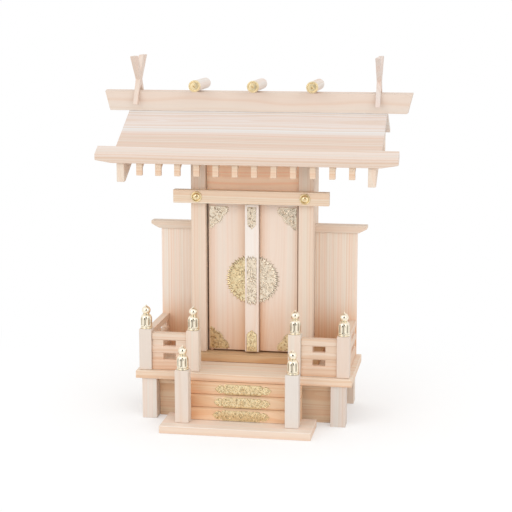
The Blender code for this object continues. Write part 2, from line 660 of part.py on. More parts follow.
def build_ridge(root):
    """Ridge beam over the roof joint, with slanted ends and a crowned top, and the logs across it."""
    half_width = RIDGE_WIDTH / 2
    foot = roof_height(ridge_y + half_width) + JOINT_GAP
    top = foot + RIDGE_HEIGHT
    peak = top + RIDGE_CROWN
    beam = board("ridge_beam", (-ridge_half_length, ridge_half_length),
                 (ridge_y - half_width, ridge_y + half_width), (foot, peak), root)
    for vertex in beam.data.vertices:
        if vertex.co.z < 0.0:
            vertex.co.x -= math.copysign(RIDGE_END_SLANT, vertex.co.x)
    valley = foot - RIDGE_WIDTH
    low, high = ridge_y - RIDGE_WIDTH, ridge_y + RIDGE_WIDTH
    roof_line = [(low, roof_height(low) + JOINT_GAP), (low, valley), (high, valley),
                 (high, roof_height(high) + JOINT_GAP), (ridge_y, roof_height(ridge_y) + JOINT_GAP)]
    groove = gable_plate("ridge_groove", roof_line, 0.0, 3 * ridge_half_length, root)
    combine(beam, plate_as_cutter(groove), "DIFFERENCE")
    shoulder, sky = peak - 2 * RIDGE_CROWN, peak + RIDGE_WIDTH
    crown_line = [(low, shoulder), (ridge_y, peak), (high, shoulder), (high, sky), (low, sky)]
    crown = gable_plate("ridge_crown", crown_line, 0.0, 3 * ridge_half_length, root)
    combine(beam, plate_as_cutter(crown), "DIFFERENCE")
    for index, label in enumerate(("left", "centre", "right")):
        bpy.ops.mesh.primitive_cylinder_add(
            vertices=LOG_SIDES, radius=LOG_RADIUS, depth=LOG_LENGTH,
            location=((index - (LOG_COUNT - 1) / 2) * LOG_SPACING, ridge_y,
                      peak + JOINT_GAP + LOG_RADIUS),
            rotation=(math.pi / 2, 0.0, 0.0))
        soften_edges(adopt(bpy.context.object, "ridge_log_" + label, root))
    build_chigi(top, root)


def build_chigi(ridge_top, root):
    """Crossed boards that straddle the ridge beam near its ends, each cut as one outline."""
    leg = RIDGE_WIDTH / 2 + JOINT_GAP
    arch = ridge_top + JOINT_GAP
    foot = ridge_top - CHIGI_FOOT_DROP
    waist = ridge_top + CHIGI_WAIST_RISE
    tip = ridge_top + CHIGI_RISE
    splayed = leg + CHIGI_FOOT_SPLAY
    right_half = [(leg, arch), (splayed, foot), (splayed + CHIGI_FOOT_WIDTH, foot),
                  (CHIGI_WAIST_HALF_WIDTH, waist), (CHIGI_TOP_OUTER, tip), (CHIGI_TOP_INNER, tip)]
    outline = [(0.0, arch + CHIGI_NOTCH_DEPTH)] + right_half + [(0.0, waist + CHIGI_NOTCH_DEPTH)]
    outline += mirrored(-1, reversed(right_half))
    outline = [(ridge_y + u, v) for u, v in outline]
    for side, label in SIDES:
        gable_plate("chigi_" + label, outline, side * chigi_x, CHIGI_THICKNESS, root)


for stale in list(bpy.data.objects):
    bpy.data.objects.remove(stale)
pieces = bpy.data.collections.new("kamidana")
cutters = bpy.data.collections.new("kamidana_cutters")
bpy.context.scene.collection.children.link(pieces)
bpy.context.scene.collection.children.link(cutters)
shrine = bpy.data.objects.new("kamidana_centre", None)
shrine.location = (0.0, -footprint_centre_y, 0.0)
pieces.objects.link(shrine)
build_stair(shrine)
build_deck(shrine)
build_railings(shrine)
build_room(shrine)
build_doors(shrine)
build_wings(shrine)
build_roof(shrine)
build_ridge(shrine)
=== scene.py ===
"""Finish of a household shrine: planed cypress, gilt brass plates and finials, and a pale studio."""

import math
import zlib

import bmesh
import bpy
import numpy as np
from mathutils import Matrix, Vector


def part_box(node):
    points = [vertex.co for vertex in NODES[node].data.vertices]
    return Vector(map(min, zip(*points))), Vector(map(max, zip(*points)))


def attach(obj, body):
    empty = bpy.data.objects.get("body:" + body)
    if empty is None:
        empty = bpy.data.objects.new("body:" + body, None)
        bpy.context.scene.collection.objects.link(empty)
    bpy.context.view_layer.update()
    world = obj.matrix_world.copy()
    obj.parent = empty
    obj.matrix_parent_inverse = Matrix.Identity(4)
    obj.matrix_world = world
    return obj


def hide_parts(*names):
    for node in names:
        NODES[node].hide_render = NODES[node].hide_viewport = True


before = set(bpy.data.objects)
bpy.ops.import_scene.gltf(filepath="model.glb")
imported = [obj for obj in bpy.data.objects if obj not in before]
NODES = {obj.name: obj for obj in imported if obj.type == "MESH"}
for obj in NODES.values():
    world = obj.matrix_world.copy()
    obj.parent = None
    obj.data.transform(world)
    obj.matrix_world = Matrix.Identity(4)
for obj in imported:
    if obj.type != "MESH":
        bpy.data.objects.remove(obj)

bl_info = {
    "name": "Kamidana Finish",
    "version": (1, 0, 0),
    "blender": (4, 5, 0),
    "location": "3D View > Sidebar > Kamidana",
    "description": "Dresses the packed shrine in planed cypress and gilt brass, on a pale floor",
    "category": "Object",
}

MM = 0.001
WELD = 1e-6
SECTION_CORNERS = 7
FINIAL_SIDES = 120
ROUND_SIDES = 64
SMOOTH_ANGLE = 40.0
TURNED_ANGLE = 50.0
CAP_ANGLE = 35.0
PLATE_CLEARANCE = 0.1 * MM
CUT_CLEARANCE = 0.5 * MM
RIM_INSET = 0.5 * MM
RIM = 0.45 * MM
BROAD_RIM = 0.50 * MM
SHEET_SHARE = 0.30
SHEET_TONE = 0.80


# Grids

def grid_quads(rows, columns, wrap_rows=False, wrap_columns=False):
    """Quads between neighbouring corners of a grid: (i, j), (i + 1, j), (i + 1, j + 1), (i, j + 1)."""
    last_row = rows if wrap_rows else rows - 1
    last_column = columns if wrap_columns else columns - 1
    i, j = np.meshgrid(np.arange(last_row), np.arange(last_column), indexing="ij")
    after_i, after_j = (i + 1) % rows, (j + 1) % columns
    corners = (i * columns + j, after_i * columns + j, after_i * columns + after_j, i * columns + after_j)
    return np.stack([corner.ravel() for corner in corners], axis=1)


def joined(parts):
    """Several (points, quads, relief) surfaces as one, each one's corner numbers moved past the last."""
    points, quads, relief, count = [], [], [], 0
    for part_points, part_quads, part_relief in parts:
        points.append(part_points)
        quads.append(part_quads + count)
        relief.append(part_relief)
        count += len(part_points)
    return np.concatenate(points), np.concatenate(quads), np.concatenate(relief)


def make_piece(name, surface, material, body, smooth_angle=SMOOTH_ANGLE):
    """Put a surface into a mesh, weld its seams and poles, turn its faces outwards and let it ride."""
    points, quads, relief = surface
    mesh = bpy.data.meshes.new(name)
    mesh.vertices.add(len(points))
    mesh.vertices.foreach_set("co", points.astype(np.float32).ravel())
    mesh.loops.add(quads.size)
    mesh.loops.foreach_set("vertex_index", quads.astype(np.int32).ravel())
    mesh.polygons.add(len(quads))
    mesh.polygons.foreach_set("loop_start", np.arange(0, quads.size, 4, dtype=np.int32))
    mesh.update(calc_edges=True)
    mesh.attributes.new("relief", "FLOAT", "POINT").data.foreach_set("value", relief.astype(np.float32))
    work = bmesh.new()
    work.from_mesh(mesh)
    bmesh.ops.remove_doubles(work, verts=work.verts, dist=WELD)
    bmesh.ops.dissolve_degenerate(work, edges=work.edges, dist=WELD)
    bmesh.ops.recalc_face_normals(work, faces=work.faces)
    work.to_mesh(mesh)
    work.free()
    mesh.shade_smooth()
    mesh.set_sharp_from_angle(angle=math.radians(smooth_angle))
    mesh.materials.append(material)
    piece = bpy.data.objects.new(name, mesh)
    bpy.context.scene.collection.objects.link(piece)
    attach(piece, body)
    return piece


def keep_side(piece, place, side):
    """Saw a piece along the upright plane x = place, keep what lies towards side and close the cut.

    The cut's new edges are sharp, so the shading is worked out again after it.
    """
    work = bmesh.new()
    work.from_mesh(piece.data)
    geometry = list(work.verts) + list(work.edges) + list(work.faces)
    cut = bmesh.ops.bisect_plane(work, geom=geometry, dist=WELD, plane_co=(place, 0.0, 0.0),
                                 plane_no=(-side, 0.0, 0.0), clear_outer=True)
    rim = [item for item in cut["geom_cut"] if isinstance(item, bmesh.types.BMEdge)]
    bmesh.ops.holes_fill(work, edges=rim, sides=0)
    bmesh.ops.recalc_face_normals(work, faces=work.faces)
    work.to_mesh(piece.data)
    work.free()
    piece.data.set_sharp_from_angle(angle=math.radians(SMOOTH_ANGLE))


# Brass work drawn flat: points are (across, up, out of the sheet)

def strip(path, half_width, height, closed=False):
    """Solid strip along a flat path, with half an ellipse as its section.

    Corner k of a section stands half_width * cos(a) to the path's left and height * sin(a) out, with
    a from 0 to 180 degrees. An open strip's ends are drawn together to a point.
    """
    path = np.asarray(path, float)
    half_width = np.broadcast_to(half_width, len(path)).astype(float)
    height = np.broadcast_to(height, len(path)).astype(float)
    if closed:
        tangent = np.roll(path, -1, axis=0) - np.roll(path, 1, axis=0)
    else:
        tangent = np.gradient(path, axis=0)
        tangent = np.concatenate([tangent[:1], tangent, tangent[-1:]])
        path = np.concatenate([path[:1], path, path[-1:]])
        half_width = np.concatenate([[0.0], half_width, [0.0]])
        height = np.concatenate([[0.0], height, [0.0]])
    tangent /= np.maximum(np.linalg.norm(tangent, axis=1, keepdims=True), 1e-12)
    left = np.stack([-tangent[:, 1], tangent[:, 0]], axis=1)
    turn = np.linspace(0.0, np.pi, SECTION_CORNERS)
    flat = path[:, None] + left[:, None] * (half_width[:, None] * np.cos(turn))[..., None]
    out = height[:, None] * np.sin(turn)
    points = np.concatenate([flat, out[..., None]], axis=2).reshape(-1, 3)
    quads = grid_quads(len(path), SECTION_CORNERS, wrap_rows=closed, wrap_columns=True)
    crest = np.clip((np.sin(turn) - SHEET_SHARE) / (1.0 - SHEET_SHARE), 0.0, 1.0)
    return points, quads, np.tile(crest, len(path))


def spiral(centre, reach, turns, start, hand, count=44):
    """Path that winds inwards: its radius falls as reach * (1 - 0.9 t) ** 0.8 and its angle turns evenly."""
    t = np.linspace(0.0, 1.0, count)
    radius = reach * (1.0 - 0.9 * t) ** 0.8
    angle = start + hand * turns * 2.0 * np.pi * t
    return np.stack([centre[0] + radius * np.cos(angle), centre[1] + radius * np.sin(angle)], axis=1)


def leaf(root, heading, length, width, bend, height, count=11):
    """Curled leaf: its midline bends aside as the square of the way along, and it swells as a sine."""
    s = np.linspace(0.0, 1.0, count)
    ahead = np.array([math.cos(heading), math.sin(heading)])
    aside = np.array([-ahead[1], ahead[0]])
    path = np.asarray(root) + np.outer(s * length, ahead) + np.outer(s * s * length * bend, aside)
    swell = np.sin(np.pi * s ** 0.75)
    return strip(path, 0.02 * width + 0.5 * width * swell, height * (0.35 + 0.65 * swell))


def scroll(centre, reach, start, hand, height, leaves=5):
    """One curl of karakusa inside a circle: a spiral stem, broad leaves outside it and a bud inside."""
    path = spiral(centre, 0.62 * reach, 1.3, start, hand)
    t = np.linspace(0.0, 1.0, len(path))
    stem = 0.10 * reach
    parts = [strip(path, stem * (1.0 - 0.35 * t), height * (1.0 - 0.2 * t))]
    along = np.gradient(path, axis=0)
    for index in range(leaves):
        at = 1 + int(index * 0.66 * len(path) / leaves)
        heading = math.atan2(along[at, 1], along[at, 0]) - hand * 0.75
        size = reach * (0.55 - 0.22 * index / leaves)
        parts.append(leaf(path[at], heading, size, size * 0.56, hand * 0.35, height))
    parts.append(disc(path[-1], 1.6 * stem, height * 1.2, 4, 12))
    return parts


def flower(centre, reach, petals, height):
    """Open flower: even petals as leaves round a centre, and a round stud in its middle."""
    parts = []
    for index in range(petals):
        heading = 2.0 * math.pi * (index + 0.5) / petals
        root = np.asarray(centre) + 0.25 * reach * np.array([math.cos(heading), math.sin(heading)])
        parts.append(leaf(root, heading, 0.75 * reach, 1.9 * reach / petals * 1.6, 0.0, height, 9))
    parts.append(disc(centre, 0.26 * reach, height * 1.5))
    return parts


def disc(centre, radius, height, rings=5, sides=16):
    """Round stud: height * cos(b) out at radius * sin(b), with b from the crown to the rim."""
    b = np.linspace(0.0, 0.5 * np.pi, rings)
    turn = np.linspace(0.0, 2.0 * np.pi, sides, endpoint=False)
    radii = np.concatenate([radius * np.sin(b), [0.0]])
    heights = np.concatenate([height * np.cos(b), [0.0]])
    x = centre[0] + radii[:, None] * np.cos(turn)
    y = centre[1] + radii[:, None] * np.sin(turn)
    z = np.broadcast_to(heights[:, None], x.shape)
    points = np.stack([x, y, z], axis=2).reshape(-1, 3)
    quads = grid_quads(len(radii), sides, wrap_columns=True)
    return points, quads, np.repeat(np.concatenate([np.cos(b), [0.0]]), sides)


def sheet_metal(outline, relief):
    """Flat sheet inside an outline that is even about the line from its first point to its middle one.

    The outline's two halves are the sides of a ladder; rung k runs from one to the other on the foot
    and back at the sheet's height.
    """
    half = len(outline) // 2
    one_side, other_side = outline[:half + 1], outline[-np.arange(half + 1)]
    rungs = np.stack([one_side, one_side, other_side, other_side], axis=1)
    heights = np.array([0.0, 1.0, 1.0, 0.0]) * SHEET_SHARE * relief
    out = np.broadcast_to(heights[None, :, None], rungs.shape[:2] + (1,))
    points = np.concatenate([rungs, out], axis=2).reshape(-1, 3)
    return points, grid_quads(half + 1, 4, wrap_columns=True), np.full(len(points), SHEET_TONE)


def round_sheet(outline, middle, relief):
    """Flat sheet inside an outline that can all be seen from a middle point.

    Its four rows run from the middle out to the edge at the sheet's height and back in along its foot.
    """
    centre = np.broadcast_to(middle, outline.shape)
    rows = np.stack([centre, outline, outline, centre])
    heights = np.array([1.0, 1.0, 0.0, 0.0]) * SHEET_SHARE * relief
    out = np.broadcast_to(heights[:, None, None], rows.shape[:2] + (1,))
    points = np.concatenate([rows, out], axis=2).reshape(-1, 3)
    return points, grid_quads(4, len(outline), wrap_columns=True), np.full(len(points), SHEET_TONE)


def drawn_in(outline, distance):
    """An outline with each point moved a fixed distance towards the outline's mean point."""
    inwards = outline.mean(axis=0) - outline
    return outline + distance * inwards / np.linalg.norm(inwards, axis=1, keepdims=True)


def on_front(surface, x, face_y, z, mirror=1.0, flip=1.0):
    """Stand a flat drawing on a face that looks towards -Y, turned over left to right or top to bottom."""
    points, quads, relief = surface
    placed = np.stack([x + mirror * points[:, 0],
                       face_y - PLATE_CLEARANCE - points[:, 2],
                       z + flip * points[:, 1]], axis=1)
    return placed, quads, relief


# Surfaces turned about an axis

def profile_of(*stretches):
    """Profile rows (r, h, tone) from stretches, each a pair of (r, h) points and their tone of brass."""
    rows = [np.column_stack([points, np.full(len(points), tone)]) for points, tone in stretches]
    return np.concatenate(rows)


def turned(profile, sides, flutes=None):
    """Surface of revolution about Z: point (r cos a, r sin a, h) for every (r, h, tone) of the profile.

    flutes, where given, is a function of the angle and the height, the depth of a groove and its shade.
    """
    angle = np.linspace(0.0, 2.0 * np.pi, sides, endpoint=False)
    radius, height, tone = (np.repeat(profile[:, k:k + 1], sides, axis=1) for k in range(3))
    if flutes is not None:
        depth, shade = flutes(angle[None, :], height)
        radius, tone = radius - depth, tone * shade
    points = np.stack([radius * np.cos(angle), radius * np.sin(angle), height], axis=2)
    return points.reshape(-1, 3), grid_quads(len(profile), sides, wrap_columns=True), tone.ravel()


def arc(radius, centre_radius, centre_height, start, end, count):
    """Profile points on part of a circle, by angles in degrees from the outward direction."""
    turn = np.radians(np.linspace(start, end, count))
    return np.stack([centre_radius + radius * np.cos(turn), centre_height + radius * np.sin(turn)], axis=1)


def facing_front(surface, x, y, z):
    """Lay a turned surface down so that its axis points to -Y, at a place."""
    points, quads, relief = surface
    return np.stack([x + points[:, 0], y - points[:, 2], z + points[:, 1]], axis=1), quads, relief


# Materials

def node(tree, kind, location, **settings):
    """Add a shader node; settings name its properties, or its inputs by label."""
    made = tree.nodes.new(kind)
    made.location = location
    for key, value in settings.items():
        if key in made.inputs:
            made.inputs[key].default_value = value
        else:
            setattr(made, key, value)
    return made


def maths(tree, operation, first, second, location, clamp=False):
    """A math node between two sockets or numbers."""
    made = node(tree, "ShaderNodeMath", location, operation=operation, use_clamp=clamp)
    for slot, value in enumerate((first, second)):
        if isinstance(value, (int, float)):
            made.inputs[slot].default_value = value
        else:
            tree.links.new(value, made.inputs[slot])
    return made.outputs[0]


def mixed(tree, blend, share, first, second, location):
    """A colour mix between two sockets or colours."""
    made = node(tree, "ShaderNodeMix", location, data_type="RGBA", blend_type=blend)
    for slot, value in ((0, share), (6, first), (7, second)):
        if isinstance(value, bpy.types.NodeSocket):
            tree.links.new(value, made.inputs[slot])
        else:
            made.inputs[slot].default_value = value
    return made.outputs[2]


def spread_value(tree, socket, low, high, to_low, to_high, location, way="LINEAR"):
    """Map a value from one range to another, kept inside it."""
    made = node(tree, "ShaderNodeMapRange", location, interpolation_type=way)
    tree.links.new(socket, made.inputs["Value"])
    for label, value in (("From Min", low), ("From Max", high), ("To Min", to_low), ("To Max", to_high)):
        made.inputs[label].default_value = value
    return made.outputs[0]


def mapped(tree, socket, location, label, value):
    """Coordinates from a socket, moved, turned or stretched by one input of a Mapping node."""
    made = node(tree, "ShaderNodeMapping", location, vector_type="POINT")
    made.inputs[label].default_value = value
    tree.links.new(socket, made.inputs["Vector"])
    return made.outputs[0]


def noise(tree, socket, location, **settings):
    """Noise in space, at the coordinates that a socket gives."""
    made = node(tree, "ShaderNodeTexNoise", location, **settings)
    tree.links.new(socket, made.inputs["Vector"])
    return made.outputs[0]


def waves(tree, distance, to_metre, location, **settings):
    """Noise along one distance, with about so many waves to the metre."""
    made = node(tree, "ShaderNodeTexNoise", location, noise_dimensions="1D", Scale=1.0, **settings)
    along = maths(tree, "MULTIPLY", distance, to_metre, (location[0] - 150, location[1] + 50))
    tree.links.new(along, made.inputs["W"])
    return made.outputs[0]


def bumped(tree, shader, height, location, strength, distance):
    """Let a height roughen the shader's surface."""
    bump = node(tree, "ShaderNodeBump", location, Strength=strength, Distance=distance)
    tree.links.new(height, bump.inputs["Height"])
    tree.links.new(bump.outputs[0], shader.inputs["Normal"])


def new_shader(name):
    """An empty material with its Principled shader."""
    material = bpy.data.materials.new(name)
    material.use_nodes = True
    shader = material.node_tree.nodes["Principled BSDF"]
    shader.location = (1400, 0)
    return material, material.node_tree, shader


AXES = {"X": 0, "Y": 1, "Z": 2}
SAPWOOD_TINT = (0.98, 1.03, 1.05)
GRAIN_TURN = {"X": (0.0, 0.0, 0.0), "Y": (0.0, 0.0, -math.pi / 2), "Z": (0.0, math.pi / 2, 0.0)}
LOG_BEND = 0.007
DRIFT_STRETCH = (4.0, 20.0, 20.0)
FIBRE_STRETCH = (30.0, 1300.0, 1300.0)
RINGS_TO_METRE = 560.0
BANDS_TO_METRE = 70.0
SAPWOOD_TO_METRE = 150.0


def cypress(name, along, heart, light, depth, lines, shade_and_heartwood, shade_and_heartwood_tint):
    """Planed cypress sawn from a round log, as a solid grain, so that faces, edges and ends agree.

    The Mapping node puts the log's heart on the X axis. Growth rings are bands of the distance from
    that axis, bent a little by slow noise; fibres are noise drawn out along X. Broad bands of sapwood
    are a little less pink. Each wash warms the wood and draws its lines harder as one coordinate
    goes from a start to an end. On most boards the washes are painted shade; on a few they are
    warmer heartwood.
    """
    material, tree, shader = new_shader(name)
    link = tree.links.new
    place = node(tree, "ShaderNodeTexCoord", (-1600, 0)).outputs["Object"]
    shift = mapped(tree, place, (-1400, 0), "Location", tuple(-value for value in heart))
    grain = mapped(tree, shift, (-1200, 0), "Rotation", GRAIN_TURN[along])
    drift_space = mapped(tree, grain, (-1000, 250), "Scale", DRIFT_STRETCH)
    drift = noise(tree, drift_space, (-800, 250), Scale=1.0, Detail=2.0)

    apart = node(tree, "ShaderNodeSeparateXYZ", (-1000, 0))
    link(grain, apart.inputs[0])
    across = maths(tree, "MULTIPLY", apart.outputs[1], apart.outputs[1], (-800, 0))
    through = maths(tree, "MULTIPLY", apart.outputs[2], apart.outputs[2], (-800, -150))
    distance = maths(tree, "SQRT", maths(tree, "ADD", across, through, (-650, 0)), 0.0, (-500, 0))
    bent = maths(tree, "ADD", distance, maths(tree, "MULTIPLY", drift, LOG_BEND, (-500, 200)), (-350, 50))

    warmth = 0.0
    position = node(tree, "ShaderNodeSeparateXYZ", (-1400, 600))
    link(place, position.inputs[0])
    # Washes: painted shade on most boards, warmer heartwood on a few, each rising along one axis.
    for step, (axis, start, end, share) in enumerate(shade_and_heartwood):
        reach = spread_value(tree, position.outputs[AXES[axis]], start, end, 0.0, share,
                             (-1200, 600 + 200 * step), "SMOOTHSTEP")
        warmth = maths(tree, "ADD", reach, warmth, (-1000, 600 + 200 * step), clamp=True)

    rings = waves(tree, bent, RINGS_TO_METRE, (-150, 150), Detail=3.0, Roughness=0.62)
    ring_lines = spread_value(tree, rings, 0.46, 0.66, 0.0, 1.0, (50, 150))
    bands = waves(tree, bent, BANDS_TO_METRE, (-150, -100), Detail=1.5)
    band_tone = spread_value(tree, bands, 0.35, 0.65, 0.0, 1.0, (50, -100))
    clouds = waves(tree, bent, SAPWOOD_TO_METRE, (-150, -350), Detail=0.0)
    sapwood = spread_value(tree, clouds, 0.40, 0.60, 0.0, 1.0, (50, -350), "SMOOTHSTEP")
    fibre_space = mapped(tree, grain, (-800, -600), "Scale", FIBRE_STRETCH)
    fibres = noise(tree, fibre_space, (-600, -600), Scale=1.0, Detail=3.0, Roughness=0.6)

    hardness = maths(tree, "ADD", maths(tree, "MULTIPLY", band_tone, 0.6 * lines, (250, 0)),
                     maths(tree, "MULTIPLY", warmth, 0.5, (250, 300)), (350, 100))
    hardness = maths(tree, "ADD", hardness, 0.4 * lines, (450, 100))
    share = maths(tree, "MULTIPLY", ring_lines, hardness, (550, 150))
    share = maths(tree, "ADD", share, maths(tree, "MULTIPLY", band_tone, 0.30, (250, -100)), (650, 100),
                  clamp=True)
    dark = (light[0] * (1.0 - 0.40 * depth), light[1] * (1.0 - depth), light[2] * (1.0 - 1.5 * depth))
    colour = mixed(tree, "MIX", share, (*light, 1.0), (*dark, 1.0), (800, 150))
    colour = mixed(tree, "MULTIPLY", warmth, colour, (*shade_and_heartwood_tint, 1.0), (1000, 250))
    colour = mixed(tree, "MULTIPLY", sapwood, colour, (*SAPWOOD_TINT, 1.0), (1100, 350))
    fleck = spread_value(tree, fibres, 0.3, 0.7, 0.982, 1.018, (250, -350))
    link(mixed(tree, "MULTIPLY", 1.0, colour, fleck, (1200, 100)), shader.inputs["Base Color"])
    link(spread_value(tree, fibres, 0.3, 0.7, 0.48, 0.60, (600, -350)), shader.inputs["Roughness"])
    shader.inputs["Specular IOR Level"].default_value = 0.25

    height = maths(tree, "ADD", maths(tree, "MULTIPLY", fibres, 0.6, (600, -550)),
                   maths(tree, "MULTIPLY", ring_lines, -0.4, (600, -700)), (800, -600))
    bumped(tree, shader, height, (1100, -500), 0.12, 0.10 * MM)
    return material


CLOUDS_TO_METRE = 260.0
SCRATCHES_TO_METRE = 1500.0


def worked_brass(name, colour, patina, opening_shade, fineness, roughness):
    """Brass that is bright on what stands proud and darker where the relief attribute is low.

    Opening shade, from 0 to 1, is how dark the small openings between the curls are. They are no holes
    but painted shade: dark specks in the patina colour where wood in shade would show through. They lie
    where a noise with fineness waves to the metre is high, and show least on the crests.
    """
    material, tree, shader = new_shader(name)
    link = tree.links.new
    relief = node(tree, "ShaderNodeAttribute", (0, 200), attribute_name="relief")
    crest = spread_value(tree, relief.outputs["Fac"], 0.0, 0.9, 0.0, 1.0, (200, 200))
    place = node(tree, "ShaderNodeTexCoord", (-200, -100)).outputs["Object"]
    cloud = noise(tree, place, (0, -100), Scale=CLOUDS_TO_METRE, Detail=4.0)
    painted_opening_noise = noise(tree, place, (0, 500), Scale=fineness, Detail=2.5, Roughness=0.6)
    hollow = spread_value(tree, relief.outputs["Fac"], 0.6, 1.0, opening_shade, 0.35 * opening_shade, (200, 400))
    painted_holes = spread_value(tree, painted_opening_noise, 0.53, 0.63, 0.0, 1.0, (200, 600))
    # Painted shade: dark specks for openings, in the patina colour.
    painted_openings = maths(tree, "MULTIPLY", painted_holes, hollow, (400, 500))
    crest = maths(tree, "MULTIPLY", crest, maths(tree, "SUBTRACT", 1.0, painted_openings, (500, 500)), (600, 350))
    base = mixed(tree, "MIX", crest, (*patina, 1.0), (*colour, 1.0), (700, 200))
    tint = spread_value(tree, cloud, 0.3, 0.7, 0.90, 1.08, (300, -50))
    link(mixed(tree, "MULTIPLY", 1.0, base, tint, (950, 150)), shader.inputs["Base Color"])
    link(spread_value(tree, cloud, 0.3, 0.7, roughness - 0.06, roughness + 0.06, (300, -250)),
         shader.inputs["Roughness"])
    shader.inputs["Metallic"].default_value = 1.0
    scratches = noise(tree, place, (0, -400), Scale=SCRATCHES_TO_METRE, Detail=2.0)
    bumped(tree, shader, scratches, (500, -400), 0.08, 0.05 * MM)
    return material


# Each kind of brass: its colours in the finish, opening shade (how dark its painted openings are), openings
# to
#  the metre, and roughness
BRASS_KINDS = {
    "turned": ("gilt", 0.0, 300.0, 0.20),
    "domed": ("golden", 0.0, 300.0, 0.30),
    "satin": ("golden", 0.0, 300.0, 0.44),
    "pierced": ("pale", 1.0, 310.0, 0.20),
    "chased": ("pale", 0.80, 400.0, 0.20),
    "golden": ("golden", 0.85, 380.0, 0.20),
    "dull": ("golden", 0.95, 340.0, 0.30),
}


def brass(kind):
    """The shared brass of one kind, from its colours in the finish and how dark its painted openings are."""
    look = bpy.context.scene.kamidana_finish
    colours, opening_shade, fineness, roughness = BRASS_KINDS[kind]
    name = kind + "_brass"
    return (bpy.data.materials.get(name)
            or worked_brass(name, getattr(look, colours + "_brass"), getattr(look, colours + "_patina"),
                            opening_shade, fineness, roughness))


# Boards

def pair(stem):
    """Names of a node's left and right copies."""
    return stem + "_left", stem + "_right"


RIDGE_LOGS = ("ridge_log_left", "ridge_log_centre", "ridge_log_right")
STEPS = ("step_lower", "step_middle", "step_upper")

# Which way each board's grain runs, which timber it is and how hard its lines are
GRAIN_GROUPS = (
    ("X", "cream", 1.5, ("roof_front", "roof_back", "eave_plank")),
    ("X", "flesh", 0.8, ("ridge_beam", "base_board", *pair("wing_cap"), "rafters_front", "rafters_back",
                         "bearer_back")),
    ("X", "flesh", 4.0, ("tie_beam",)),
    ("X", "warm", 1.6, ("deck", *pair("railing_front"))),
    ("X", "shaded_honey", 2.0, ("plinth", *STEPS, "header_panel", "skirt_front")),
    ("Y", "pale", 0.6, RIDGE_LOGS),
    ("Y", "flesh", 0.6, (*pair("bargeboard"), *pair("bearer"))),
    ("Y", "warm", 0.6, pair("railing_side")),
    ("Z", "pale", 0.5, (*pair("newel"), *pair("corner_post"), *pair("stair_post"), *pair("deck_post_front"),
                        *pair("deck_post_rear"), "door_batten", *pair("chigi"))),
    ("Z", "flesh", 0.6, pair("pillar")),
    ("Z", "rosy", 0.5, (*pair("door"), *pair("side_wall"), "back_wall")),
    ("Z", "rosy", 1.3, pair("wing")),
)

# How much red, green and blue a board shows beside its timber: partly each board's own tone, and partly
#  painted light and shade. The header panel, door batten, deck and base board are drawn lighter against
#  the shade they stand in, and the front rafters warmer for the shade under their eave
PLAIN_TINT = (1.0, 1.0, 1.0)
BOARD_TONE_AND_LIGHT_TINTS = {
    **dict.fromkeys(RIDGE_LOGS, (1.03, 1.07, 1.14)),
    **dict.fromkeys(STEPS, (1.06, 1.06, 1.04)),
    "chigi_left": (0.96, 0.91, 0.91),
    "chigi_right": (0.93, 0.92, 0.97),
    "rafters_front": (0.99, 0.93, 0.86),
    "ridge_beam": (0.95, 0.96, 1.00),
    "roof_front": (0.98, 1.02, 1.07),
    "eave_plank": (0.98, 0.98, 0.98),
    # Painted light: the header panel is lightened against the shade under the eave.
    "header_panel": (1.34, 1.38, 1.50),
    "tie_beam": (1.06, 1.06, 1.02),
    "door_left": (1.00, 1.02, 1.07),
    "door_right": (1.00, 1.05, 1.11),
    "door_batten": (1.09, 1.16, 1.25),
    "wing_left": (1.10, 1.20, 1.31),
    "wing_right": (1.06, 1.13, 1.20),
    "plinth": (0.85, 0.82, 0.71),
    "deck": (1.08, 1.15, 1.18),
    "base_board": (1.10, 1.13, 1.18),
    "deck_post_front_left": (1.02, 1.06, 1.12),
    "deck_post_front_right": (0.90, 0.92, 0.96),
    "skirt_front": (1.07, 1.12, 1.15),
    "newel_left": (0.95, 0.96, 0.98),
    "newel_right": (0.94, 0.95, 0.99),
    "corner_post_left": (0.95, 0.93, 0.94),
    "corner_post_right": (0.95, 0.93, 0.93),
}

# How far under their top face the deck and the base board begin and end to warm: painted shade that
#  makes their front edges darker than their tops
EDGE_START = 0.3 * MM
EDGE_END = 1.5 * MM


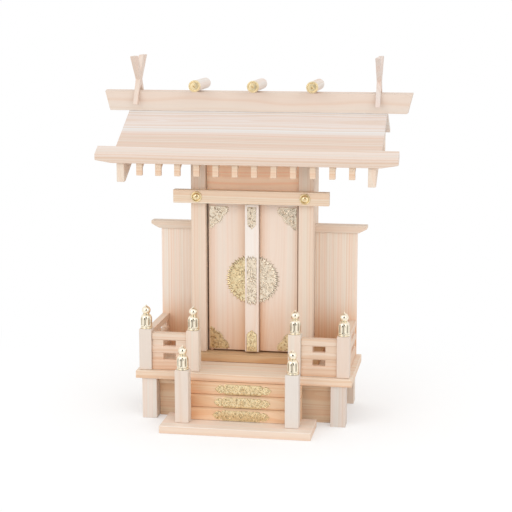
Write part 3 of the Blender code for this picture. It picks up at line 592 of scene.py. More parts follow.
def shade_and_heartwood_of(name):
    """Where a board warms and its lines harden: (axis, start, end, share) for each way.

    On the doors, batten, header panel, plinth, wings and railings this is painted shade. It is warmer
    towards the doors' foot, beside the batten and the doors' outer edges, up under the eave, down
    the plinth, at the wings' foot and down the railings. On the deck and base board it is painted
    shade just under the top face, which darkens their front edges. On the roof, eave plank and steps
    it only warms the wood along one axis.
    """
    low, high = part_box(name)
    batten_low, batten_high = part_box("door_batten")
    reach = high - low
    if name == "roof_front":
        return [("Z", low.z + 0.50 * reach.z, low.z + 0.36 * reach.z, 0.50)]
    if name == "eave_plank":
        return [("Z", low.z + 0.65 * reach.z, low.z + 0.25 * reach.z, 0.45)]
    # Painted shade: the doors warm towards their foot, beside the batten and at their outer edge.
    if name in ("door_left", "door_right"):
        edge, inner = (batten_low.x, -1.0) if name == "door_left" else (batten_high.x, 1.0)
        outer = low.x if name == "door_left" else high.x
        return [("Z", low.z + 0.50 * reach.z, low.z, 0.55),
                ("X", edge + inner * 0.30 * reach.x, edge, 0.45),
                ("X", outer - inner * 0.16 * reach.x, outer, 0.30)]
    # Painted shade: the batten warms towards its foot.
    if name == "door_batten":
        return [("Z", low.z + 0.65 * reach.z, low.z + 0.30 * reach.z, 0.30)]
    # Painted shade: the header panel warms upwards under the eave.
    if name == "header_panel":
        return [("Z", low.z, high.z, 0.25)]
    # Painted shade: the plinth warms towards its foot.
    if name == "plinth":
        return [("Z", high.z, low.z, 0.45)]
    if name.startswith("step_"):
        return [("X", low.x + 0.30 * reach.x, low.x, 0.75), ("X", high.x - 0.20 * reach.x, high.x, 0.10)]
    # Painted shade: the wings warm towards their foot.
    if name.startswith("wing_") and "cap" not in name:
        return [("Z", low.z + 0.50 * reach.z, low.z + 0.10 * reach.z, 1.0)]
    # Painted shade: the railings warm towards their foot.
    if name.startswith("railing_"):
        return [("Z", low.z + 0.60 * reach.z, low.z, 0.45)]
    # Painted shade: the deck and base board warm just under their top face, so their front edges are darker
    # than their tops.
    if name in ("deck", "base_board"):
        return [("Z", high.z - EDGE_START, high.z - EDGE_END, 0.35)]
    return []


# Boards whose rings stand upright to their broad face, and how far a log's heart lies away and sways
QUARTER_SAWN = ("tie_beam", *pair("wing"), *STEPS, "plinth")
HEART_AWAY = 0.030
HEART_SWAY = 0.020
SWAY_ALONG = 0.4
SWAY_LEAST = 0.01


def heart_of_log(name, along):
    """Where the heart of the board's log lies: before its broad face, or beside it if quarter sawn."""
    low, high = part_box(name)
    seed = zlib.crc32(name.encode())
    sway = [(seed >> shift & 255) / 255.0 - 0.5 for shift in (0, 8, 16)]
    heart = [(low[axis] + high[axis]) / 2 for axis in range(3)]
    size = [high[axis] - low[axis] for axis in range(3)]
    for axis in range(3):
        heart[axis] += sway[axis] * (SWAY_ALONG if axis == AXES[along] else 0.5 * size[axis] + SWAY_LEAST)
    thin, broad = sorted((axis for axis in range(3) if axis != AXES[along]), key=size.__getitem__)
    heart[broad if name in QUARTER_SAWN else thin] += HEART_AWAY + HEART_SWAY * sway[0]
    return heart


# Places

def box_middle(name):
    """Middle of a node's box."""
    low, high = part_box(name)
    return (low + high) / 2


def door_leaf(side):
    """Lowest and highest corner of a door's leaf, without its pivot pins, from the batten's ends."""
    low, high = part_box("door_" + side)
    batten_low, batten_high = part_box("door_batten")
    low.z, high.z = batten_low.z, batten_high.z
    return low, high


# Sizes and colours

COLOUR = {"subtype": "COLOR", "size": 3, "min": 0.0, "max": 1.0}
LENGTH = {"subtype": "DISTANCE", "unit": "LENGTH"}


class KamidanaFinish(bpy.types.PropertyGroup):
    """Colours of the timbers and of the brass, and the depth of the grain."""

    pale: bpy.props.FloatVectorProperty(
        name="Pale wood", description="Sapwood of the posts, batten, ridge logs and crossed boards",
        default=(0.84, 0.72, 0.62), **COLOUR)
    cream: bpy.props.FloatVectorProperty(
        name="Cream wood", description="Pale boards of the roof and the eave",
        default=(0.82, 0.73, 0.67), **COLOUR)
    flesh: bpy.props.FloatVectorProperty(
        name="Flesh wood", description="Beams, pillars, rafters, bargeboards and base board",
        default=(0.83, 0.68, 0.56), **COLOUR)
    warm: bpy.props.FloatVectorProperty(
        name="Warm wood", description="Deck and railings",
        default=(0.83, 0.65, 0.52), **COLOUR)
    # Shaded honey is partly painted shade: a deeper orange copy of the wood for the steps, plinth, header
    # panel and skirt, whose faces lie in shade.
    shaded_honey: bpy.props.FloatVectorProperty(
        name="Honey wood", description="Heartwood of the steps, plinth, header and skirt",
        default=(0.82, 0.58, 0.40), **COLOUR)
    rosy: bpy.props.FloatVectorProperty(
        name="Rosy wood", description="Broad boards of the doors, screens and walls",
        default=(0.86, 0.69, 0.56), **COLOUR)
    # The blush is the warm colour of the washes: painted shade on most boards that carry it, heartwood on
    # the roof, eave plank and steps.
    blush: bpy.props.FloatVectorProperty(
        name="Blush", description="Tint that heartwood lays over the boards that carry some of it",
        default=(0.90, 0.66, 0.48), **COLOUR)
    grain_depth: bpy.props.FloatProperty(
        name="Grain depth", description="How much darker the late wood is than the early wood",
        default=0.18, subtype="FACTOR", min=0.0, max=1.0)
    gilt_brass: bpy.props.FloatVectorProperty(
        name="Gilt brass", description="Turned finials where they stand proud",
        default=(0.97, 0.88, 0.71), **COLOUR)
    # Gilt patina also paints the dark lines in the finials' flute grooves: painted reflection.
    gilt_patina: bpy.props.FloatVectorProperty(
        name="Gilt patina", description="The same brass in its grooves",
        default=(0.24, 0.19, 0.12), **COLOUR)
    # Pale and golden brass are one brass drawn lighter and darker: painted reflection, pale where the plates
    # would catch bright reflections, golden where they catch less.
    pale_brass: bpy.props.FloatVectorProperty(
        name="Pale brass", description="Upper door plates and most of the medallion, where they stand proud",
        default=(1.0, 0.87, 0.69), **COLOUR)
    # Pale patina is patina in the relief's hollows and also the painted shade of the dark specks that stand
    # for openings.
    pale_patina: bpy.props.FloatVectorProperty(
        name="Pale patina", description="The same brass in the hollows of its relief",
        default=(0.26, 0.16, 0.09), **COLOUR)
    golden_brass: bpy.props.FloatVectorProperty(
        name="Golden brass", description="Lower and step plates, the medallion's left part, bosses and caps",
        default=(0.93, 0.77, 0.48), **COLOUR)
    # Golden patina is patina in the relief's hollows and also the painted shade of the dark specks that
    # stand for openings.
    golden_patina: bpy.props.FloatVectorProperty(
        name="Golden patina", description="The same brass in the hollows of its relief",
        default=(0.32, 0.18, 0.06), **COLOUR)


class KamidanaFittings(bpy.types.PropertyGroup):
    """Sizes of the brass work."""

    corner_width: bpy.props.FloatProperty(
        name="Corner plate width", description="Reach along the door's top or bottom edge",
        default=24.6 * MM, **LENGTH)
    corner_height: bpy.props.FloatProperty(
        name="Corner plate height", description="Reach along the door's outer edge",
        default=27.6 * MM, **LENGTH)
    corner_inset: bpy.props.FloatProperty(
        name="Corner plate inset", description="Bare wood between the plate and the door's edges",
        default=1.2 * MM, **LENGTH)
    top_drop: bpy.props.FloatProperty(
        name="Top plate drop",
        description="Further bare wood above the plates at the doors' and batten's head",
        default=2.2 * MM, **LENGTH)
    medallion_radius: bpy.props.FloatProperty(
        name="Medallion radius", description="Radius of the round ornament across both doors",
        default=31.4 * MM, **LENGTH)
    medallion_parting: bpy.props.FloatProperty(
        name="Medallion parting", description="How far each half is drawn away from the middle",
        default=2.4 * MM, **LENGTH)
    medallion_height: bpy.props.FloatProperty(
        name="Medallion height", description="Height of its centre above the doors' foot",
        default=90.4 * MM, **LENGTH)
    batten_top_width: bpy.props.FloatProperty(
        name="Top batten plate width", description="Width of the plate at the batten's head",
        default=10.6 * MM, **LENGTH)
    batten_centre_width: bpy.props.FloatProperty(
        name="Centre batten plate width", description="Width of the medallion's middle on the batten",
        default=12.0 * MM, **LENGTH)
    batten_bottom_width: bpy.props.FloatProperty(
        name="Bottom batten plate width", description="Width of the plate at the batten's foot",
        default=12.8 * MM, **LENGTH)
    batten_plate_height: bpy.props.FloatProperty(
        name="Batten plate height", description="Height of the top and bottom plates on the batten",
        default=27.4 * MM, **LENGTH)
    step_plate_length: bpy.props.FloatProperty(
        name="Step plate length", description="Tip to tip length of the plates on the risers",
        default=68.4 * MM, **LENGTH)
    step_plate_margin: bpy.props.FloatProperty(
        name="Step plate margin", description="Bare wood above and below a plate on its riser",
        default=0.3 * MM, **LENGTH)
    step_plate_shift: bpy.props.FloatProperty(
        name="Step plate shift", description="How far the plates sit right of the steps' middle",
        default=2.5 * MM, **LENGTH)
    boss_radius: bpy.props.FloatProperty(
        name="Boss radius", description="Radius of the two bosses on the tie beam",
        default=6.6 * MM, **LENGTH)
    finial_swell: bpy.props.FloatProperty(
        name="Finial swell", description="Radius of a turned finial as a share of the plain one's",
        default=1.16, subtype="FACTOR")
    finial_flutes: bpy.props.IntProperty(
        name="Finial flutes", description="Number of flutes round the bell of a finial",
        default=8)
    cap_skirt: bpy.props.FloatProperty(
        name="Log cap skirt", description="How far a log cap reaches back along its log",
        default=2.6 * MM, **LENGTH)
    relief_height: bpy.props.FloatProperty(
        name="Relief height", description="How far the scrolls stand off the wood",
        default=0.55 * MM, **LENGTH)


class KamidanaStage(bpy.types.PropertyGroup):
    """Camera, floor and lamps."""

    camera_place: bpy.props.FloatVectorProperty(
        name="Camera place", description="Where the camera stands",
        default=(0.2843, -1.6280, 0.5033), subtype="TRANSLATION", unit="LENGTH", size=3)
    camera_turn: bpy.props.FloatVectorProperty(
        name="Camera turn", description="Rotation of the camera",
        default=(math.radians(79.40), 0.0, math.radians(9.64)), subtype="EULER", unit="ROTATION", size=3)
    camera_lens: bpy.props.FloatProperty(
        name="Camera lens", description="Focal length on a 36 mm sensor, in millimetres",
        default=97.83)
    card_radius: bpy.props.FloatProperty(
        name="Card radius", description="Radius of the black card round the lens that metal mirrors",
        default=0.75, **LENGTH)
    floor_radius: bpy.props.FloatProperty(
        name="Floor radius", description="Radius of the pale floor",
        default=6.0, **LENGTH)
    world_light: bpy.props.FloatProperty(
        name="World light", description="Strength of the even light from all round",
        default=0.95)
    key_power: bpy.props.FloatProperty(
        name="Key power", description="Power of the broad lamp at the left, in watts",
        default=9.5)
    fill_power: bpy.props.FloatProperty(
        name="Fill power", description="Power of the broad lamp at the right, in watts",
        default=9.5)
    shadow_share: bpy.props.FloatProperty(
        name="Shadow share", description="How much of the floor's white near the shrine is lit paint",
        default=0.70, subtype="FACTOR", min=0.0, max=1.0)
    shadow_reach: bpy.props.FloatProperty(
        name="Shadow reach", description="Distance from the middle at which the floor turns plain white",
        default=0.55, **LENGTH)
    paint_level: bpy.props.FloatProperty(
        name="Paint level", description="Brightness of the lit white paint away from any shadow",
        default=0.98)


class KAMIDANA_OT_wood(bpy.types.Operator):
    """Give every wooden node its own board of cypress, with the grain along its length"""

    bl_idname = "kamidana.wood"
    bl_label = "Dress the Wood"

    def execute(self, context):
        look = context.scene.kamidana_finish
        for along, timber, lines, names in GRAIN_GROUPS:
            for name in names:
                tint = BOARD_TONE_AND_LIGHT_TINTS.get(name, PLAIN_TINT)
                light = [channel * share for channel, share in zip(getattr(look, timber), tint)]
                material = cypress(name + "_cypress", along, heart_of_log(name, along), light,
                                   look.grain_depth, lines, shade_and_heartwood_of(name), look.blush)
                NODES[name].data.materials.clear()
                NODES[name].data.materials.append(material)
        return {"FINISHED"}


# Finials

FLUTE_FOOT = 0.09
FLUTE_TOP = 0.50
FLUTE_DEPTH = 0.10


def finial_profile(radius, height):
    """Outline of a finial from its foot to its tip: band, bell, collar, round bulb and pointed tip."""
    bell = 0.97 * radius
    neck = 0.50 * radius
    bell_top = 0.57 * height
    shoulder = 0.21 * height
    bulb = 0.73 * radius
    bulb_middle = 0.745 * height
    rise = np.linspace(FLUTE_FOOT * height, bell_top - shoulder, 14)
    turn = np.radians(np.linspace(4.0, 84.0, 16))
    over = np.stack([neck + (bell - neck) * np.cos(turn),
                     bell_top + shoulder * (np.sin(turn) - 1.0)], axis=1)
    tip = np.linspace(0.0, 1.0, 9)[1:, None]
    ball = arc(bulb, 0.0, bulb_middle, -46.0, 66.0, 20)
    point = ball[-1] * (1.0 - tip) ** (1.6, 1.0) + (0.0, height) * tip
    return profile_of(
        (np.array([[0.0, 0.0], [radius, 0.0]]), 0.8),
        (arc(0.030 * height, radius - 0.030 * height, 0.036 * height, -60.0, 80.0, 8), 1.0),
        (np.array([[bell - 0.04 * radius, 0.075 * height]]), 0.0),
        (np.stack([np.full(len(rise), bell), rise], axis=1), 1.0),
        (over, 1.0),
        (np.array([[neck, bell_top + 0.002 * height]]), 0.1),
        (arc(0.014 * height, neck + 0.05 * radius, bell_top + 0.016 * height, -80.0, 80.0, 8), 1.0),
        (np.array([[neck, bell_top + 0.032 * height]]), 0.1),
        (ball, 1.0),
        (point, 1.0))


def reeded_bell(low, high, count, depth):
    """Flutes up a bell between two heights, with one straight in front: grooves at the zeros of |sin|.

    The grooves fade in and out at their ends as a squared sine of the way up. Their tone falls nearly
    to the patina colour, a painted dark reflection, and the groove in front paints a dark line down the
    middle.
    """
    def flutes(angle, height):
        way_up = np.clip((height - low) / (high - low), 0.0, 1.0)
        fade = np.minimum(1.0, 6.0 * np.sin(np.pi * way_up) ** 2)
        groove = fade * (1.0 - np.abs(np.sin(0.5 * count * (angle + 0.5 * np.pi))))
        # Painted dark reflection: the groove's tone falls to 5 %.
        return depth * groove, 1.0 - 0.95 * groove
    return flutes


class KAMIDANA_OT_finials(bpy.types.Operator):
    """Turn the six fluted brass finials in place of the plain ones"""

    bl_idname = "kamidana.finials"
    bl_label = "Turn the Finials"

    def execute(self, context):
        sizes = context.scene.kamidana_fittings
        for post in ("newel", "stair_post", "corner_post"):
            for side in ("left", "right"):
                plain = "{}_finial_{}".format(post, side)
                low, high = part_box(plain)
                middle = box_middle(plain)
                radius, height = sizes.finial_swell * (high.x - low.x) / 2, high.z - low.z
                flutes = reeded_bell(FLUTE_FOOT * height, FLUTE_TOP * height, sizes.finial_flutes,
                                     FLUTE_DEPTH * radius)
                points, quads, relief = turned(finial_profile(radius, height), FINIAL_SIDES, flutes)
                points = points + np.array([middle.x, middle.y, low.z])
                cap = make_piece("{}_cap_{}".format(post, side), (points, quads, relief), brass("turned"),
                                 "shrine", TURNED_ANGLE)
                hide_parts(plain)
        return {"FINISHED"}


# Plates and medallion

def superellipse(width, height, power, lobes, depth, count):
    """Curve from (width, 0) to (0, height) with |x/width|^power + |y/height|^power = 1, gently lobed.

    The radius at each angle is drawn in by depth * (1 - |sin|) between the lobes.
    """
    angle = np.linspace(0.0, 0.5 * np.pi, count)
    c, s = np.cos(angle), np.sin(angle)
    radius = ((c / width) ** power + (s / height) ** power) ** (-1.0 / power)
    radius = radius - depth * (1.0 - np.abs(np.sin(lobes * angle)))
    return np.stack([radius * c, radius * s], axis=1)


def corner_drawing(width, height, relief):
    """Corner plate: a lobed sheet with a rim and leaf tips, a large curl and smaller ones to its ends."""
    edge = superellipse(width, height, 1.35, 5, 2.4 * MM, 65)
    outline = np.concatenate([np.array([[0.0, 0.0]]), edge])
    parts = [round_sheet(outline, (0.27 * width, 0.27 * height), relief),
             strip(drawn_in(outline, RIM_INSET), BROAD_RIM, relief, closed=True)]
    for root in edge[4:-4:4]:
        heading = math.atan2(root[1] * width, root[0] * height)
        parts.append(leaf(0.94 * root, heading - 0.35, 3.4 * MM, 1.9 * MM, 0.3, relief))
    curls = ((0.31, 0.28, 0.260, 3.9, 1.0), (0.68, 0.150, 0.145, 2.6, -1.0), (0.165, 0.67, 0.145, 5.2, 1.0),
             (0.50, 0.47, 0.100, 3.4, 1.0), (0.88, 0.065, 0.065, 2.2, 1.0), (0.075, 0.88, 0.065, 5.6, -1.0),
             (0.57, 0.30, 0.075, 1.2, -1.0), (0.33, 0.57, 0.075, 0.3, 1.0))
    for across, up, reach, start, hand in curls:
        parts += scroll((across * width, up * height), reach * height, start, hand, relief, 6)
    return joined(parts)


def rosette_drawing(radius, relief):
    """Round ornament on a lobed sheet: a flower, two rings of curls and a wreath of leaves round them."""
    turn = np.linspace(0.0, 2.0 * np.pi, 192, endpoint=False)
    circle = np.stack([np.cos(turn), np.sin(turn)], axis=1)
    sheet = radius * (0.80 + 0.06 * np.abs(np.cos(9.0 * turn)))[:, None] * circle
    parts = [round_sheet(sheet, (0.0, 0.0), relief),
             strip(0.270 * radius * circle[::2], RIM, relief, closed=True)]
    parts += flower((0.0, 0.0), 0.24 * radius, 8, relief)
    for count, place, reach, leaves in ((8, 0.525, 0.225, 7), (16, 0.735, 0.105, 4)):
        for index in range(count):
            heading = 2.0 * math.pi * (index + 0.5) / count
            ahead = np.array([math.cos(heading), math.sin(heading)])
            hand = 1.0 if index % 2 else -1.0
            start = heading + hand * 2.2
            parts += scroll(place * radius * ahead, reach * radius, start, hand, relief, leaves)
    wreaths = ((0.45, 34, 0.77, 0.23), (-0.55, 34, 0.79, 0.165), (0.0, 18, 0.35, 0.165))
    for lean, count, root, length in wreaths:
        for index in range(count):
            heading = 2.0 * math.pi * (index + 0.5 * (lean == 0.0)) / count
            ahead = np.array([math.cos(heading), math.sin(heading)])
            parts.append(leaf(root * radius * ahead, heading + lean, length * radius, 0.090 * radius,
                              -0.6 * lean, relief, 9))
    return joined(parts)


def tongue_outline(width, height, count=41):
    """Outline of a batten plate from the middle of its foot: straight sides and a lobed, pointed top."""
    across = np.linspace(1.0, -1.0, count)
    lobes = 0.7 * MM * np.abs(np.sin(3.0 * np.pi * across / 2.0))
    top = height * (1.0 - 0.20 * np.abs(across) ** 1.3) - lobes
    edge = np.stack([0.5 * width * across, top], axis=1)
    return np.concatenate([[[0.0, 0.0], [0.5 * width, 0.0]], edge, [[-0.5 * width, 0.0]]])


def tongue_drawing(width, height, relief):
    """Batten plate: a thin sheet with a rim and a stack of curls that turn left and right in turn."""
    outline = tongue_outline(width, height)
    parts = [sheet_metal(outline, relief), strip(drawn_in(outline, RIM_INSET), RIM, relief, closed=True)]
    for hand, up, reach in ((1.0, 0.17, 0.42), (-1.0, 0.45, 0.40), (1.0, 0.70, 0.33)):
        parts += scroll((hand * 0.06 * width, up * height), reach * width, 1.57 + hand * 0.9, hand, relief)
    parts.append(leaf((0.0, 0.78 * height), 0.5 * math.pi, 0.18 * height, 0.22 * width, 0.0, relief))
    return joined(parts)


def cartouche_outline(length, height, count=33):
    """Outline of a step plate, anticlockwise: a long round-ended body with a pointed lobe at each end.

    The half height follows the place x from the middle: full over the body, rounded down to a waist at
    0.70 of the half length, swelling again in the lobe and running out to the tip.
    """
    x = np.concatenate([np.linspace(0.0, 0.60, 8)[:-1], np.linspace(0.60, 1.0, count)])
    body = np.clip((0.70 - x) / 0.10, 0.0, 1.0)
    lobe = np.clip((x - 0.68) / 0.32, 0.0, 1.0)
    half = 0.36 + 0.64 * np.sqrt(1.0 - (1.0 - body) ** 2)
    half = np.where(x > 0.70, 0.36 + 0.46 * np.sin(np.pi * lobe ** 0.8) - 0.36 * lobe ** 3, half)
    half[-1] = 0.0
    right = np.stack([0.5 * length * x, 0.5 * height * half], axis=1)
    upper = np.concatenate([right[::-1], right[1:] * (-1.0, 1.0)])
    lower = upper[1:-1] * (1.0, -1.0)
    return np.concatenate([upper, lower[::-1]])


def cartouche_drawing(length, height, relief):
    """Step plate: a thin sheet with a rim, a flower in the middle and curls running out to both ends."""
    outline = cartouche_outline(length, height)
    parts = [sheet_metal(outline, relief), strip(outline * (0.985, 0.93), RIM, relief, closed=True)]
    parts += flower((0.0, 0.0), 0.40 * height, 8, relief * 1.2)
    for side in (-1.0, 1.0):
        for index, place in enumerate((0.235, 0.43, 0.60)):
            hand = side * (1.0 if index % 2 else -1.0)
            centre = (side * place * 0.5 * length, -hand * side * 0.04 * height)
            parts += scroll(centre, 0.42 * height, math.pi * (side > 0.0) + hand * 0.6, hand, relief)
        root = (side * 0.39 * length, 0.0)
        for lean in (-0.7, 0.0, 0.7):
            heading = (0.0 if side > 0.0 else math.pi) + lean
            parts.append(leaf(root, heading, 0.45 * height, 0.24 * height, 0.0, relief))
    return joined(parts)


# Painted reflection and shade: one brass is drawn pale on the upper plates and the medallion's middle and
# right, which catch bright reflections, and golden on the lower plates and the medallion's left, which catch
# less light.
CORNER_BRASS = {"top": "pierced", "bottom": "dull"}
BATTEN_BRASS = {"top": "pierced", "bottom": "golden"}
MEDALLION_BRASS = {"left": "golden", "centre": "chased", "right": "chased"}


class KAMIDANA_OT_door_plates(bpy.types.Operator):
    """Lay the corner plates with their painted shade specks, the parted medallion and the batten plates on
    the doors
    """

    bl_idname = "kamidana.door_plates"
    bl_label = "Lay the Door Plates"

    def execute(self, context):
        sizes = context.scene.kamidana_fittings
        relief = sizes.relief_height
        corner = corner_drawing(sizes.corner_width, sizes.corner_height, relief)
        rosette = rosette_drawing(sizes.medallion_radius, relief)
        centre_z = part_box("door_left")[0].z + sizes.medallion_height + sizes.corner_inset
        batten_low, batten_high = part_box("door_batten")
        middle_x = (batten_low.x + batten_high.x) / 2
        for side, sign in (("left", 1.0), ("right", -1.0)):
            low, high = door_leaf(side)
            outer_x = low.x if side == "left" else high.x
            for end, z, flip in (("top", high.z - sizes.top_drop, -1.0), ("bottom", low.z, 1.0)):
                placed = on_front(corner, outer_x + sign * sizes.corner_inset, low.y,
                                  z + flip * sizes.corner_inset, sign, flip)
                make_piece("door_plate_{}_{}".format(end, side), placed, brass(CORNER_BRASS[end]),
                           side + "_door")
            parted_x = middle_x - sign * sizes.medallion_parting
            half = make_piece("medallion_" + side, on_front(rosette, parted_x, low.y, centre_z, sign),
                              brass(MEDALLION_BRASS[side]), side + "_door")
            edge = batten_low.x if side == "left" else batten_high.x
            keep_side(half, edge - sign * CUT_CLEARANCE, -sign)
        centre_piece = make_piece("medallion_centre", on_front(rosette, middle_x, batten_low.y, centre_z),
                                  brass(MEDALLION_BRASS["centre"]), "left_door")
        keep_side(centre_piece, middle_x - sizes.batten_centre_width / 2, 1.0)
        keep_side(centre_piece, middle_x + sizes.batten_centre_width / 2, -1.0)
        for end, z, flip, width in (("bottom", batten_low.z, 1.0, sizes.batten_bottom_width),
                                    ("top", batten_high.z - sizes.top_drop, -1.0, sizes.batten_top_width)):
            tongue = tongue_drawing(width, sizes.batten_plate_height, relief)
            placed = on_front(tongue, middle_x, batten_low.y, z + flip * CUT_CLEARANCE, 1.0, flip)
            make_piece("batten_plate_" + end, placed, brass(BATTEN_BRASS[end]), "left_door")
        return {"FINISHED"}


class KAMIDANA_OT_step_plates(bpy.types.Operator):
    """Lay a chased plate on the riser of each step"""

    bl_idname = "kamidana.step_plates"
    bl_label = "Lay the Step Plates"

    def execute(self, context):
        sizes = context.scene.kamidana_fittings
        for level in ("lower", "middle", "upper"):
            low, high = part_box("step_" + level)
            drawing = cartouche_drawing(sizes.step_plate_length,
                                        high.z - low.z - 2 * sizes.step_plate_margin, sizes.relief_height)
            placed = on_front(drawing, sizes.step_plate_shift, low.y, (low.z + high.z) / 2)
            make_piece("step_plate_" + level, placed, brass("golden"), "shrine")
        return {"FINISHED"}


# Bosses and log caps

def boss_profile(radius):
    """Section of a boss from the back of its rim to its crown: rounded rim, groove, low dome and nub."""
    dome = arc(0.95 * radius, 0.0, -0.52 * radius, 42.0, 76.0, 14)
    return profile_of(
        (np.array([[0.0, 0.0], [radius, 0.0]]), 0.7),
        (arc(0.13 * radius, 0.87 * radius, 0.10 * radius, -20.0, 150.0, 10), 1.0),
        (np.array([[0.72 * radius, 0.08 * radius]]), 0.45),
        (dome, 1.0),
        (np.array([[0.20 * radius, 0.40 * radius]]), 0.4),
        (arc(0.17 * radius, 0.0, 0.42 * radius, 10.0, 90.0, 8), 0.9))


class KAMIDANA_OT_bosses(bpy.types.Operator):
    """Set a domed boss on the tie beam in front of each pillar"""

    bl_idname = "kamidana.bosses"
    bl_label = "Set the Bosses"

    def execute(self, context):
        radius = context.scene.kamidana_fittings.boss_radius
        beam_low, beam_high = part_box("tie_beam")
        for side in ("left", "right"):
            surface = turned(boss_profile(radius), ROUND_SIDES)
            placed = facing_front(surface, box_middle("pillar_" + side).x, beam_low.y - PLATE_CLEARANCE,
                                  (beam_low.z + beam_high.z) / 2)
            make_piece("beam_boss_" + side, placed, brass("domed"), "shrine", TURNED_ANGLE)
        return {"FINISHED"}


CAP_OUTSIDE = 0.45 * MM
CAP_INSIDE = 0.10 * MM


def cap_profile(log_radius, skirt):
    """Section of a log cap from the inside of its skirt, round its rim and in over its face to a nub."""
    outer = log_radius + CAP_OUTSIDE
    inner = log_radius + CAP_INSIDE
    return profile_of(
        (np.array([[0.0, 0.10 * MM], [inner, 0.10 * MM], [inner, -skirt], [outer, -skirt]]), 0.8),
        (arc(0.6 * MM, outer - 0.6 * MM, 0.6 * MM, 0.0, 100.0, 7), 1.0),
        (arc(0.5 * MM, 0.80 * outer, 1.0 * MM, 20.0, 160.0, 8), 1.0),
        (np.array([[0.68 * outer, 0.7 * MM], [0.60 * outer, 0.8 * MM], [0.24 * outer, 0.9 * MM]]), 1.0),
        (arc(0.20 * outer, 0.0, 0.7 * MM, 20.0, 66.0, 8), 0.90),
        (np.array([[0.06 * outer, 1.0 * MM], [0.0, 1.0 * MM]]), 0.60))


class KAMIDANA_OT_log_caps(bpy.types.Operator):
    """Cap the front end of each ridge log"""

    bl_idname = "kamidana.log_caps"
    bl_label = "Cap the Ridge Logs"

    def execute(self, context):
        skirt = context.scene.kamidana_fittings.cap_skirt
        for place in ("left", "centre", "right"):
            low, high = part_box("ridge_log_" + place)
            middle = box_middle("ridge_log_" + place)
            surface = turned(cap_profile((high.x - low.x) / 2, skirt), ROUND_SIDES)
            placed = facing_front(surface, middle.x, low.y, middle.z)
            make_piece("ridge_cap_" + place, placed, brass("satin"), "shrine", CAP_ANGLE)
        return {"FINISHED"}


# Stage

LAMP_AIM = (0.0, -0.03, 0.20)
KEY_PLACE = (-1.3, -2.1, 1.20)
KEY_SIZE = 1.6
FILL_PLACE = (1.4, -2.0, 1.10)
FILL_SIZE = 1.8
FLOOR_DROP = 0.02 * MM
SHADOW_CORE = 0.12
CARD_SIDES = 48
SENSOR_WIDTH = 36.0


def seen_white(tree, location):
    """1 for rays that look at the stage directly, in a mirror or through glass, and 0 for its light."""
    rays = node(tree, "ShaderNodeLightPath", location)
    seen = maths(tree, "MAXIMUM", rays.outputs["Is Camera Ray"], rays.outputs["Is Glossy Ray"],
                 (location[0] + 200, location[1]))
    return maths(tree, "MAXIMUM", seen, rays.outputs["Is Transmission Ray"],
                 (location[0] + 400, location[1]))


def white_floor(stage):
    """Floor that is white to the camera, in metal and through glass, and pale paint to everything else.

    Near the shrine a share of the white is lit paint, and the glow gives back what that share would
    reach unshaded, so that only the shadow darkens it. The share falls to nothing at the shadow's reach.
    """
    material, tree, shader = new_shader("pale_floor")
    link = tree.links.new
    shader.inputs["Base Color"].default_value = (0.80, 0.80, 0.80, 1.0)
    shader.inputs["Roughness"].default_value = 0.9
    shader.inputs["Specular IOR Level"].default_value = 0.1
    place = node(tree, "ShaderNodeTexCoord", (0, 600))
    away = node(tree, "ShaderNodeVectorMath", (200, 600), operation="LENGTH")
    link(place.outputs["Object"], away.inputs[0])
    share = spread_value(tree, away.outputs["Value"], SHADOW_CORE, stage.shadow_reach, stage.shadow_share,
                         0.0, (400, 600), "SMOOTHSTEP")
    paint = node(tree, "ShaderNodeBsdfDiffuse", (900, 700))
    link(share, paint.inputs["Color"])
    glow = node(tree, "ShaderNodeEmission", (900, 500))
    given_back = maths(tree, "MULTIPLY", share, stage.paint_level, (600, 450))
    link(maths(tree, "SUBTRACT", 1.0, given_back, (750, 450)), glow.inputs["Strength"])
    lit_white = node(tree, "ShaderNodeAddShader", (1200, 600))
    link(paint.outputs[0], lit_white.inputs[0])
    link(glow.outputs[0], lit_white.inputs[1])
    choice = node(tree, "ShaderNodeMixShader", (1700, 200))
    link(seen_white(tree, (900, 250)), choice.inputs[0])
    link(shader.outputs[0], choice.inputs[1])
    link(lit_white.outputs[0], choice.inputs[2])
    link(choice.outputs[0], tree.nodes["Material Output"].inputs["Surface"])
    return material


def soft_lamp(name, place, aim, size, power):
    """Square area lamp that looks from one place to another."""
    lamp = bpy.data.lights.new(name, "AREA")
    lamp.shape = "SQUARE"
    lamp.size = size
    lamp.energy = power
    holder = bpy.data.objects.new(name, lamp)
    direction = np.asarray(aim, float) - np.asarray(place, float)
    flat = math.hypot(direction[0], direction[1])
    holder.location = place
    holder.rotation_euler = (math.atan2(flat, -direction[2]), 0.0, math.atan2(-direction[0], direction[1]))
    bpy.context.scene.collection.objects.link(holder)


def flat_disc(name, radius, sides, upwards):
    """Round flat mesh whose faces look up or down."""
    points, quads, _ = turned(np.array([[0.0, 0.0, 1.0], [radius, 0.0, 1.0]]), sides)
    mesh = bpy.data.meshes.new(name)
    mesh.from_pydata(points.tolist(), [], quads[:, ::-1 if upwards else 1].tolist())
    mesh.validate()
    return mesh


def lay_floor(stage):
    """Lay the pale floor just under the shrine."""
    mesh = flat_disc("floor", stage.floor_radius, ROUND_SIDES, True)
    floor = bpy.data.objects.new("floor", mesh)
    floor.location.z = -FLOOR_DROP
    bpy.context.scene.collection.objects.link(floor)
    mesh.materials.append(white_floor(stage))


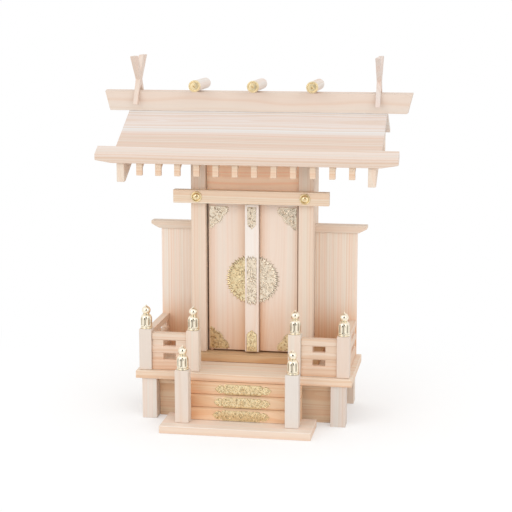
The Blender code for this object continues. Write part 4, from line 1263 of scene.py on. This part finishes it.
def light_world(stage):
    """White backdrop to the camera and in metal, and an even light to everything else."""
    world = bpy.data.worlds.new("studio")
    world.use_nodes = True
    bpy.context.scene.world = world
    tree = world.node_tree
    background = tree.nodes["Background"]
    level = spread_value(tree, seen_white(tree, (-900, 0)), 0.0, 1.0, stage.world_light, 1.0, (-300, 0))
    tree.links.new(level, background.inputs["Strength"])
    background.inputs["Color"].default_value = (1.0, 1.0, 1.0, 1.0)


def hang_card(stage):
    """Black card round the lens, which only metal mirrors."""
    mesh = flat_disc("black_card", stage.card_radius, CARD_SIDES, False)
    material, _, shader = new_shader("black_card")
    shader.inputs["Base Color"].default_value = (0.02, 0.02, 0.02, 1.0)
    mesh.materials.append(material)
    card = bpy.data.objects.new("black_card", mesh)
    card.location = stage.camera_place
    card.rotation_euler = stage.camera_turn
    card.visible_camera = card.visible_diffuse = card.visible_shadow = False
    bpy.context.scene.collection.objects.link(card)


def set_camera(stage):
    """Camera at the photograph's viewing angle."""
    lens = bpy.data.cameras.new("camera")
    lens.sensor_width = SENSOR_WIDTH
    lens.lens = stage.camera_lens
    camera = bpy.data.objects.new("camera", lens)
    camera.location = stage.camera_place
    camera.rotation_euler = stage.camera_turn
    bpy.context.scene.collection.objects.link(camera)
    bpy.context.scene.camera = camera


class KAMIDANA_OT_stage(bpy.types.Operator):
    """Lay the pale floor, light the world and set the lamps and the camera"""

    bl_idname = "kamidana.stage"
    bl_label = "Set the Stage"

    def execute(self, context):
        stage = context.scene.kamidana_stage
        lay_floor(stage)
        light_world(stage)
        soft_lamp("key", KEY_PLACE, LAMP_AIM, KEY_SIZE, stage.key_power)
        soft_lamp("fill", FILL_PLACE, LAMP_AIM, FILL_SIZE, stage.fill_power)
        hang_card(stage)
        set_camera(stage)
        context.scene.view_settings.view_transform = "Standard"
        return {"FINISHED"}


# Panel and running order

PIECE_OPERATORS = (
    KAMIDANA_OT_wood,
    KAMIDANA_OT_finials,
    KAMIDANA_OT_door_plates,
    KAMIDANA_OT_step_plates,
    KAMIDANA_OT_bosses,
    KAMIDANA_OT_log_caps,
    KAMIDANA_OT_stage,
)


class KAMIDANA_PT_panel(bpy.types.Panel):
    """Sizes, colours and the steps that dress the shrine"""

    bl_idname = "KAMIDANA_PT_panel"
    bl_label = "Kamidana"
    bl_space_type = "VIEW_3D"
    bl_region_type = "UI"
    bl_category = "Kamidana"

    def draw(self, context):
        layout = self.layout
        for group in PROPERTY_GROUPS:
            owner = getattr(context.scene, GROUP_NAMES[group])
            column = layout.column(align=True)
            for key in group.__annotations__:
                column.prop(owner, key)
        for operator in PIECE_OPERATORS:
            layout.operator(operator.bl_idname)


PROPERTY_GROUPS = (KamidanaFinish, KamidanaFittings, KamidanaStage)
GROUP_NAMES = {KamidanaFinish: "kamidana_finish", KamidanaFittings: "kamidana_fittings",
               KamidanaStage: "kamidana_stage"}


def register():
    """Register the classes and hang the property groups on the scene."""
    for item in (*PROPERTY_GROUPS, *PIECE_OPERATORS, KAMIDANA_PT_panel):
        bpy.utils.register_class(item)
    for group, name in GROUP_NAMES.items():
        setattr(bpy.types.Scene, name, bpy.props.PointerProperty(type=group))


def unregister():
    """Take the property groups off the scene and forget the classes."""
    for name in GROUP_NAMES.values():
        delattr(bpy.types.Scene, name)
    for item in (KAMIDANA_PT_panel, *reversed(PIECE_OPERATORS), *reversed(PROPERTY_GROUPS)):
        bpy.utils.unregister_class(item)


def main():
    """Dress the shrine step by step."""
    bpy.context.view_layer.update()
    register()
    bpy.ops.kamidana.wood()
    bpy.ops.kamidana.finials()
    bpy.ops.kamidana.door_plates()
    bpy.ops.kamidana.step_plates()
    bpy.ops.kamidana.bosses()
    bpy.ops.kamidana.log_caps()
    bpy.ops.kamidana.stage()


if __name__ == "__main__":
    main()
